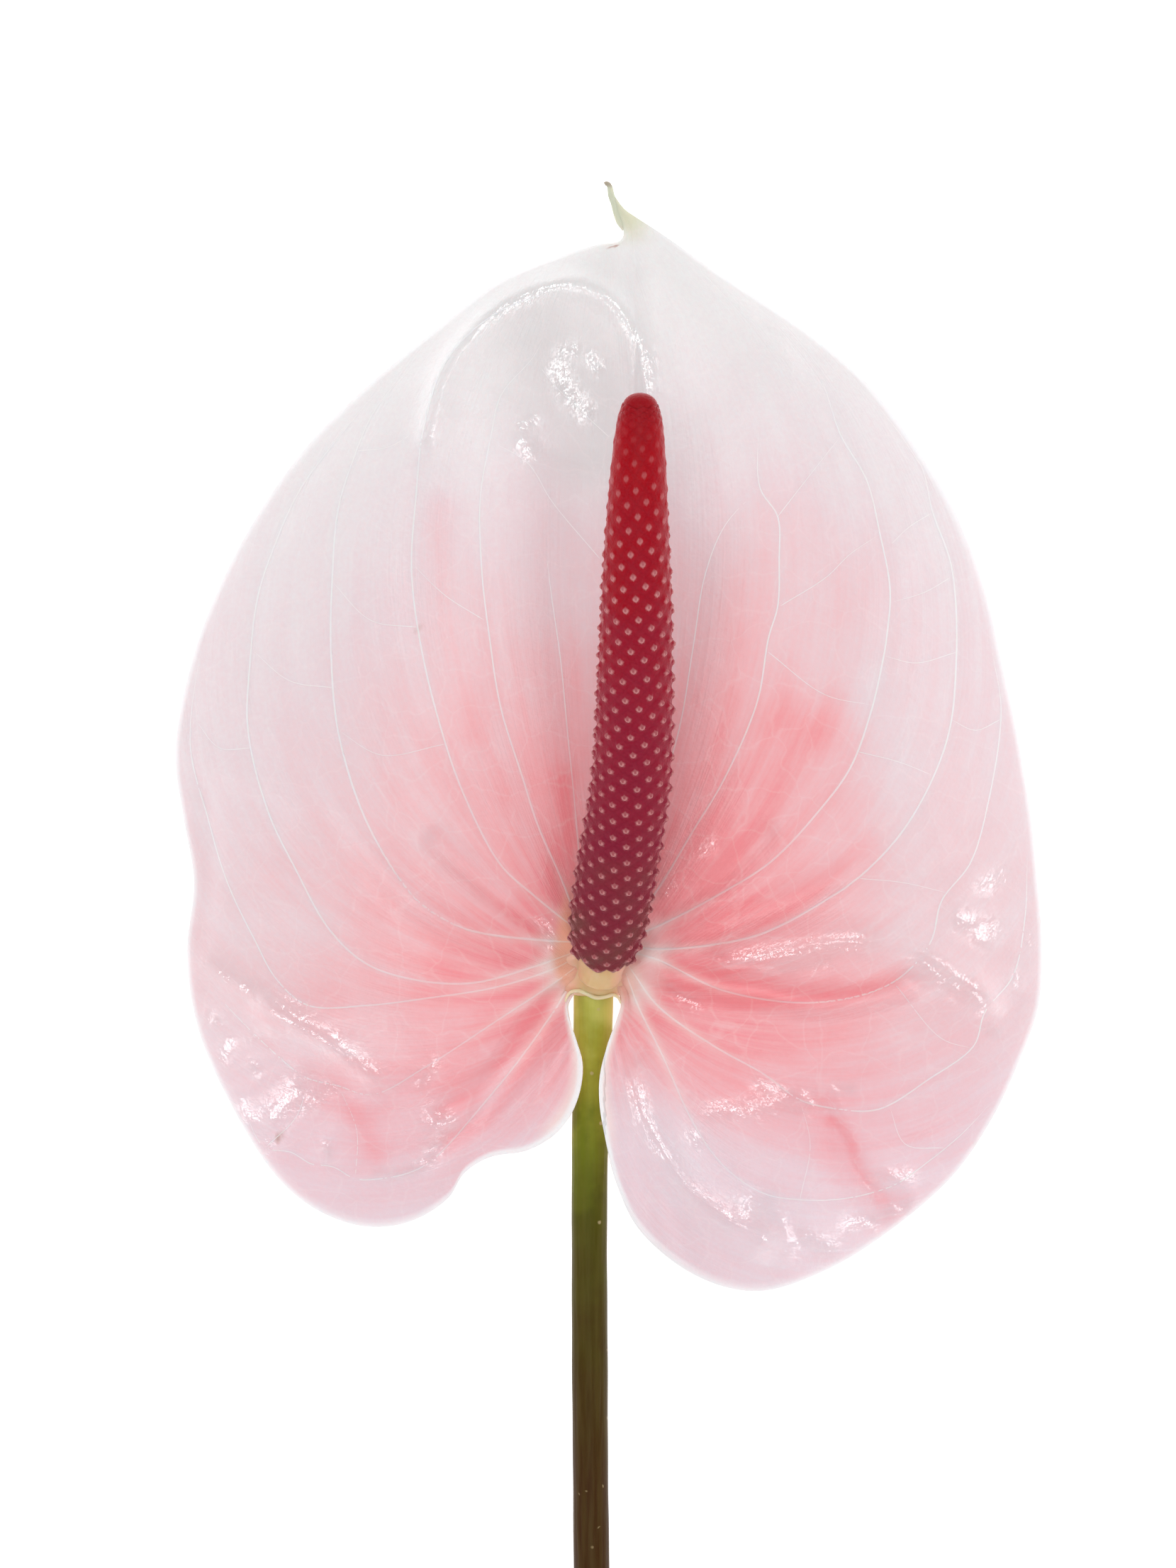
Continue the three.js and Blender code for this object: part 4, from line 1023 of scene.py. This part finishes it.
def make_veins(blade):
    """Every vein is a tube that lies in the blade and stands a little proud of both of its faces."""
    skin_of = BVHTree.FromPolygons([v.co.copy() for v in blade.data.vertices],
                                   [tuple(p.vertices) for p in blade.data.polygons])

    def hit_from(xy, top):
        start, towards = (CLEAR_ABOVE, -1) if top else (-CLEAR_ABOVE, 1)
        return skin_of.ray_cast(Vector((*xy, start)), Vector((0, 0, towards)))[0]

    courses = []
    for path, width in VEINS + [(path, CROSS_VEIN_WIDTH) for path in CROSS_VEINS]:
        line = even_spline(path, VEIN_STEP)
        outwards = line * (1 + VEIN_END_INSET / np.linalg.norm(line, axis=1))[:, None]
        line = np.array([xy for xy, out in zip(line, outwards) if hit_from(scene_point([*out, 0])[:2], True)])
        share = np.linspace(0, 1, len(line))
        taper = np.minimum(step_between(-0.02, 0.15, share), step_between(1.03, 0.96, share))
        radii = 0.5 * VEIN_SLIMMING * width * (0.55 + 0.45 * share) * taper
        courses.append((np.column_stack([line * MM, np.zeros(len(line))]), radii))
    veins = tubes("spathe_veins", courses, 2)

    flat = read_vertices(veins, "co")
    laid = scene_point(flat / MM)
    for point, (_, _, thick) in zip(laid, flat):
        hit = hit_from(point[:2], thick >= 0) or skin_of.find_nearest(Vector(point))[0]
        point[2] = hit.z + thick * VEIN_FLATNESS
    place_points(veins, laid)
    local = lift_off_floor(veins)
    face_outward(veins)
    inner = np.full(len(local), 0.5)
    spathe_paint(veins, local[:, :2], inner, inner * 40, inner * 0)
    smooth(veins, 60)
    return veins


# ------------------------------------------------------------------ collar

COLLAR_CENTRE = (-1.55, 0, -3.65)
COLLAR_PROFILE = [(2.95, 0.3), (3.3, 1), (3.6, 2.2), (3.6, 4.5), (3, 6.5), (1.6, 8.2)]
NODE_CENTRE = (-0.9, 2.8, -1.6)
NODE_RADII = (8.2, 4.1, 2.2)
STIPE_PROFILE = [(3, -3.6), (3.2, -1.4), (3.7, 0.2), (3.9, 0.9)]
LIP_PATH = [(-5.6, -1.8, 0.6), (-5, -0.6, 0.25), (-3.7, -0.25, -0.2), (-2.6, -0.65, -0.55), (-1.2, -1.25, -0.75),
            (0.2, -1.1, -0.7), (1.2, -0.85, -0.35), (1.9, -1.2, 0.1), (2.3, -2.1, 0.4)]
LIP_RADII = [0.1, 0.26, 0.3, 0.3, 0.32, 0.3, 0.28, 0.24, 0.1]


def turned(name, profile):
    """A turned form about +Z: a circle extruded and resized from row to row of a profile of radius and height."""
    bpy.ops.mesh.primitive_circle_add(vertices=64, radius=profile[0][0] * MM, fill_type="NGON",
                                      location=(0, 0, profile[0][1] * MM))
    piece = bpy.context.active_object
    piece.name = name
    bpy.ops.object.transform_apply(location=True, rotation=True, scale=True)

    def raise_rows():
        for (r0, z0), (r1, z1) in zip(profile, profile[1:]):
            bpy.ops.mesh.extrude_region_move(TRANSFORM_OT_translate={"value": (0, 0, (z1 - z0) * MM)})
            bpy.ops.transform.resize(value=(r1 / r0, r1 / r0, 1), center_override=(0, 0, z1 * MM))

    in_edit(piece, raise_rows)
    face_outward(piece)
    return piece


def make_collar():
    """The sheath round the stem, the cream node and the stipe, melted into one body, with the lip in front."""
    collar = aim(turned("spathe_collar", COLLAR_PROFILE), (0, 1, 0), COLLAR_CENTRE)
    node = ball(NODE_RADII, 48, (0, 0, 1), NODE_CENTRE)
    axis = spadix_frames(np.array([0.0]))
    stipe = aim(turned("stipe", STIPE_PROFILE), axis["forward"][0], axis["point"][0])
    join(collar, node, stipe)
    apply_modifier(collar, "REMESH", mode="VOXEL", voxel_size=0.00024)
    apply_modifier(collar, "SMOOTH", factor=0.6, iterations=14)
    local = from_junction(read_vertices(collar, "co"))
    angle = np.arctan2(local[:, 0] + 1.0, 4.6 - local[:, 1])
    front = step_between(-2.2, -1.0, local[:, 2]) * step_between(3.2, 2.0, local[:, 1])
    local[:, 2] += np.sin(angle * 17) * 0.05 * front
    place_points(collar, scene_point(local))
    lip = tube("lip", LIP_PATH, LIP_RADII, 0.2)
    paint(lip, lip=1)
    join(collar, lip)
    x, y, z = from_junction(read_vertices(collar, "co")).T
    paint(collar, under=step_between(-2.2, -4.5, z), side=step_between(1.5, 4.0, np.abs(x + 1.1)),
          foot=step_between(3.2, 2.2, np.hypot(x + 0.3, y - 5.2)))
    smooth(collar, 80)
    return collar


# ------------------------------------------------------------------ spadix

SPADIX_PATH = [(-0.3, 4.4, 3.4), (1.6, 16.3, 11.1), (3.7, 29.6, 17.8), (4.3, 46, 24.4), (4.5, 65, 30),
               (4.95, 83.2, 33.6)]
# Distance along the axis, and radius over the stigmas.
SPADIX_PROFILE = [(-1.8, 1.2), (-1.5, 2.6), (-0.6, 4.1), (0.7, 5.1), (3, 5.75), (7, 6.2), (15, 6.35), (28, 6.25),
                  (40, 6.05), (50, 5.8), (58, 5.4), (66, 4.8), (74, 4.15), (79, 3.65), (82, 3.2), (84.2, 2.5)]
SPADIX_LENGTH = 85.4
# Beyond the last florets a dome closes the skin.
DOME_RADII = (2.4, 2.4, 1.75)
DOME_AT = 83.7
# Each floret turns by this angle from the one before, so that spirals of 8 and of 11 cross between them.
FLORET_TURN = math.radians(227.62)
SPIRAL_LEFT = 8
SPIRAL_RIGHT = 11
FLORET_AREA = 4.1
FLORET_AREA_TIP = 5.0
# Cuts along each side of a floret, and how much they crowd towards its middle.
FLORET_CUTS = 10
FLORET_CROWDING = 1.6
# Height and radius of the stigma on each floret.
STIGMA_HEIGHT = 0.8
STIGMA_RADIUS = 0.62


def spadix_frames(distances):
    """Point, right, face and forward directions of the spadix's axis at distances along it."""
    line = even_spline(SPADIX_PATH, 0.1)
    run = run_along(step_lengths(line))
    at = np.clip(distances, 0, run[-1])
    forward = read_off(at, run, np.gradient(line, run, axis=0))
    forward /= np.linalg.norm(forward, axis=1)[:, None]
    point = read_off(at, run, line) + forward * (distances - at)[:, None]
    face = np.array([0.0, 0.0, 1.0]) - forward * forward[:, 2:3]
    face /= np.linalg.norm(face, axis=1)[:, None]
    return {"point": point, "forward": forward, "face": face, "right": np.cross(forward, face)}


def stigma_height(distance):
    return STIGMA_HEIGHT * (1 - 0.9 * step_between(45, 84, distance))


def skin_radius(distance):
    return np.maximum(np.interp(distance, *zip(*SPADIX_PROFILE)) - stigma_height(distance), 0)


def on_spadix(distance, angle, lift):
    axis = spadix_frames(distance)
    radius = (skin_radius(distance) + lift)[:, None]
    return axis["point"] + radius * (np.cos(angle)[:, None] * axis["right"] + np.sin(angle)[:, None] * axis["face"])


def floret_corners():
    """Distance along the axis of each floret's lower corner, so that the florets keep their area."""
    distances, distance = [], SPADIX_PROFILE[0][0]
    while distance < SPADIX_PROFILE[-1][0]:
        distances.append(distance)
        shrink = 1 - 0.86 * step_between(76, 83.5, distance)
        area = (FLORET_AREA + (FLORET_AREA_TIP - FLORET_AREA) * distance / SPADIX_LENGTH) * shrink
        distance += area / (2 * math.pi * max(float(skin_radius(distance)), 1.6))
    return np.array(distances)


def crowded(steps):
    """Evenly spaced steps from -1 to 1, as shares from 0 to 1 that crowd in the middle."""
    return np.sign(steps) * np.abs(steps) ** FLORET_CROWDING / 2 + 0.5


def turn_after(steps):
    """The turn over a number of florets, within half a turn either way."""
    return (steps * FLORET_TURN + math.pi) % (2 * math.pi) - math.pi


def close_ends():
    bpy.ops.mesh.select_all(action="DESELECT")
    bpy.ops.mesh.select_non_manifold(extend=False, use_wire=False, use_multi_face=False, use_non_contiguous=False,
                                     use_verts=False)
    bpy.ops.mesh.edge_face_add()
    bpy.ops.mesh.poke()


def make_spadix():
    """One floret tile is laid over every cell of the spiral, and a dome closes the tip."""
    tile, column, row = grid_piece("floret", FLORET_CUTS, FLORET_CUTS)
    u, v = crowded(column / FLORET_CUTS * 2 - 1), crowded(row / FLORET_CUTS * 2 - 1)
    tile_faces = np.array([p.vertices[:] for p in tile.data.polygons])
    only(tile)
    bpy.ops.object.delete()

    corner = floret_corners()
    around = SPIRAL_LEFT + SPIRAL_RIGHT
    cells = np.arange(around, len(corner))
    shape = (len(cells), len(u))
    # The four corners of a cell: how many florets back along the spiral, and the share of each at a tile's point.
    corners = [(0, (1 - u) * (1 - v)), (SPIRAL_RIGHT, u * (1 - v)), (around, u * v), (SPIRAL_LEFT, (1 - u) * v)]
    distance = sum(np.outer(corner[cells - back], share) for back, share in corners)
    angle = cells[:, None] * FLORET_TURN - sum(share * turn_after(back) for back, share in corners[1:])

    # Millimetres from the middle of the floret: "down" runs towards the foot of the spadix and "off" across it.
    radius = np.maximum(skin_radius(distance), 1.0)
    down = (u + v - 1) * (corner[cells] - corner[cells - around])[:, None] / 2
    off = (u - v) * radius * (abs(turn_after(SPIRAL_RIGHT)) + abs(turn_after(SPIRAL_LEFT))) / 2
    edge = np.minimum.reduce([u, 1 - u, v, 1 - v])
    seam = step_between(0.09, 0.0, edge)
    pad = step_between(0.0, 0.3, edge)
    uneven = 0.8 + 0.35 * np.abs(np.sin(cells * 12.9898))[:, None]
    cone = step_between(STIGMA_RADIUS, 0.1, np.hypot(down + 0.06, off)) * uneven
    bead = step_between(0.48, 0.3, np.hypot(down - 0.04, off))
    notch = step_between(0.3, 0.14, np.hypot(down + 0.12, off * 1.2))
    height = stigma_height(distance)
    fade = height / STIGMA_HEIGHT
    rise = height * (0.72 * cone - 0.22 * notch) + fade * (0.07 * pad - 0.04 * seam) - 0.04
    points = scene_point(on_spadix(distance.ravel(), angle.ravel(), rise.ravel()))
    faces = (tile_faces + (np.arange(len(cells)) * len(u))[:, None, None]).reshape(-1, 4)

    mesh = bpy.data.meshes.new("spadix")
    mesh.from_pydata(points.tolist(), [], faces.tolist())
    spadix = bpy.data.objects.new("spadix_florets", mesh)
    bpy.context.scene.collection.objects.link(spadix)
    paint(
        spadix, along=np.clip(distance / SPADIX_LENGTH, 0, 1), seam=np.broadcast_to(seam, shape), notch=notch * fade,
        stigma=bead * np.clip(fade * 1.3, 0, 1) * step_between(83, 75, distance),
        wear=step_between(30, 0, distance) * (0.4 + 0.6 * np.sin(angle * 2 + distance * 0.4) ** 2),
    )
    weld(spadix, 0.00002)
    in_edit(spadix, close_ends)
    axis = spadix_frames(np.array([DOME_AT]))
    dome = ball(DOME_RADII, 32, axis["forward"][0], axis["point"][0])
    paint(dome, along=1)
    join(spadix, dome)
    face_outward(spadix)
    smooth(spadix, 80)
    return spadix


# ------------------------------------------------------------------ stem

STEM_PATH = [(-1.55, 3.4, -3.65), (-1.6, -3, -3.7), (-2.1, -25, -4), (-2.1, -50, -4.4), (-1.8, -85, -5),
             (-0.4, -150, -6.1), (2.8, -250, -7.7), (6, -330, -8.8), (8.5, -380, -9.27)]
# Share of the length from the top, and radius.
STEM_THICKNESS = [(0, 2.86), (0.02, 2.86), (0.07, 2.56), (0.8, 2.54), (1, 2.8)]
# Share of those radii that is built, which leaves room for the uneven surface.
STEM_ROUND = 0.985
# The length over which the rind's colours run.
STEM_BROWN_BY = 170.0
# How much the cut leans upwards, and the spare length that it takes off.
CUT_SLANT = 0.6
CUT_SPARE = 3.0
# Width and depth of each step of the hollow in the cut face, in metres.
PITH_STEPS = [(0.0003, -0.00005), (0.0007, -0.0001), (0.0008, -0.00012)]


def hollow_pith():
    bpy.ops.mesh.select_mode(type="FACE")
    for width, depth in PITH_STEPS:
        bpy.ops.mesh.inset(thickness=width, depth=depth)
    bpy.ops.mesh.poke()


def make_stem():
    """A tube along the stem's path, cut on a slant at its end and hollowed a little at the pith."""
    line = even_spline(STEM_PATH, 1.4)
    heading = line[-1] - line[-2]
    heading /= np.linalg.norm(heading)
    line = np.vstack([line, line[-1] + heading * CUT_SPARE])
    radii = np.interp(np.linspace(0, 1, len(line)), *zip(*STEM_THICKNESS)) * STEM_ROUND
    radii *= 1 + 0.008 * np.sin(line[:, 1] * 0.21) + 0.006 * np.sin(line[:, 1] * 0.57 + 1)
    stem = tubes("stem_rind", [(scene_point(line), radii)], 10)
    weld(stem, 0.000001)

    cut_at = Vector(scene_point(line[-2]))
    cut_facing = Vector(heading + [0, 0, CUT_SLANT]).normalized()
    in_edit(stem, lambda: bpy.ops.mesh.bisect(plane_co=cut_at, plane_no=cut_facing, use_fill=True, clear_outer=True))
    cut = max(stem.data.polygons, key=lambda p: p.normal.dot(cut_facing) * p.area)
    for polygon in stem.data.polygons:
        polygon.select = polygon == cut
    in_edit(stem, hollow_pith, select_all=False)
    face_outward(stem)
    local = lift_off_floor(stem)
    from_cut = scene_point(local) - np.array(cut_at)
    ahead = from_cut @ np.array(cut_facing) / MM
    middle = np.linalg.norm(np.cross(from_cut, heading), axis=1) / MM
    paint(stem, down=np.clip(-local[:, 1] / STEM_BROWN_BY, 0, 1),
          cut=step_between(-0.5, -0.35, ahead) * step_between(2.62, 2.4, middle))
    smooth(stem, 40)
    return stem


# ------------------------------------------------------------------ the flower

blade = make_blade()
veins = make_veins(blade)
collar = make_collar()
spadix = make_spadix()
stem = make_stem()

dress(blade, "spathe_skin", spathe_skin(), "spathe")
dress(veins, "spathe_skin", vein_skin())
dress(collar, "spathe_skin", collar_skin())
dress(spadix, "spadix_florets", spadix_skin(), "spadix")
dress(stem, "stem_skin", stem_skin(), "stem")

# ------------------------------------------------------------------ table, light and camera

VIEW_CENTRE = (-2.35, 28.9)
VIEW_HEIGHT = 221.2
CAMERA_HEIGHT = 2200.0
FILM_WIDTH = 36
# Lamps: name, direction from +X and angle off the vertical in degrees, size in millimetres, and radiance. Each one
# is mirrored by some of the glossy puckers.
LAMPS = [
    ("overhead_window", 165, 11, 225, 7.2),
    ("top_window", 92, 18, 230, 5.8),
    ("upper_left_window", 119, 36, 300, 6.0),
    ("upper_right_window", 44, 31, 290, 4.7),
    ("right_window", -16, 22, 250, 3.7),
    ("right_side", 11, 62, 260, 5.0),
    ("lower_right_side", 312, 62, 230, 5.5),
    ("lower_window", 285, 38, 200, 4.8),
    ("lower_near_window", 273, 14, 260, 5.2),
    ("lower_left_side", 225, 52, 170, 4.5),
    ("left_side", 201, 64, 250, 5.0),
    ("left_window", 204, 24, 210, 4.0),
]
LAMP_DISTANCE = 1200.0
# Brightness of the white surroundings by height, from the horizon at 0 to straight overhead at 1. They are dim
# overhead, so that the faces turned to the camera don't mirror them.
SURROUNDINGS = [(0, 0.95), (0.2, 0.75), (0.35, 0.38), (0.5, 0.32), (0.68, 0.31), (0.97, 0.31), (0.985, 0.3)]

bpy.ops.mesh.primitive_plane_add(size=6.0, location=(0, 0, 0))
table = bpy.context.active_object
table.name = "white_table"
table.data.materials.append(paper_white())


def studio_lamp(name, azimuth, tilt, across, radiance):
    """A square lamp that faces the middle of the view."""
    turn, lean = math.radians(azimuth), math.radians(tilt)
    data = bpy.data.lights.new(name, "AREA")
    data.shape = "SQUARE"
    data.size = across * MM
    data.energy = math.pi * data.size**2 * radiance
    lamp = bpy.data.objects.new(name, data)
    bpy.context.scene.collection.objects.link(lamp)
    towards = Vector((math.sin(lean) * math.cos(turn), math.sin(lean) * math.sin(turn), math.cos(lean)))
    lamp.location = Vector(scene_point((*VIEW_CENTRE, 0))) + towards * LAMP_DISTANCE * MM
    lamp.rotation_mode = "QUATERNION"
    lamp.rotation_quaternion = towards.to_track_quat("Z", "Y")


for lamp_row in LAMPS:
    studio_lamp(*lamp_row)

world = bpy.data.worlds.new("Studio white")
bpy.context.scene.world = world
world.use_nodes = True
sky = world.node_tree
upwards = feed(sky, add(sky, "ShaderNodeSeparateXYZ"), Vector=add(sky, "ShaderNodeTexCoord").outputs["Generated"])
greys = [(height, (light, light, light, 1.0)) for height, light in SURROUNDINGS]
feed(sky, sky.nodes["Background"], Color=(1.0, 1.0, 1.0, 1.0), Strength=ramp(sky, upwards.outputs["Z"], greys))

camera_data = bpy.data.cameras.new("camera")
camera = bpy.data.objects.new("camera", camera_data)
bpy.context.scene.collection.objects.link(camera)
camera.location = Vector(scene_point((*VIEW_CENTRE, CAMERA_HEIGHT)))
camera_data.sensor_width = FILM_WIDTH
camera_data.lens = FILM_WIDTH * CAMERA_HEIGHT / VIEW_HEIGHT
camera_data.clip_end = 20
bpy.context.scene.camera = camera
bpy.context.scene.view_settings.view_transform = "Standard"
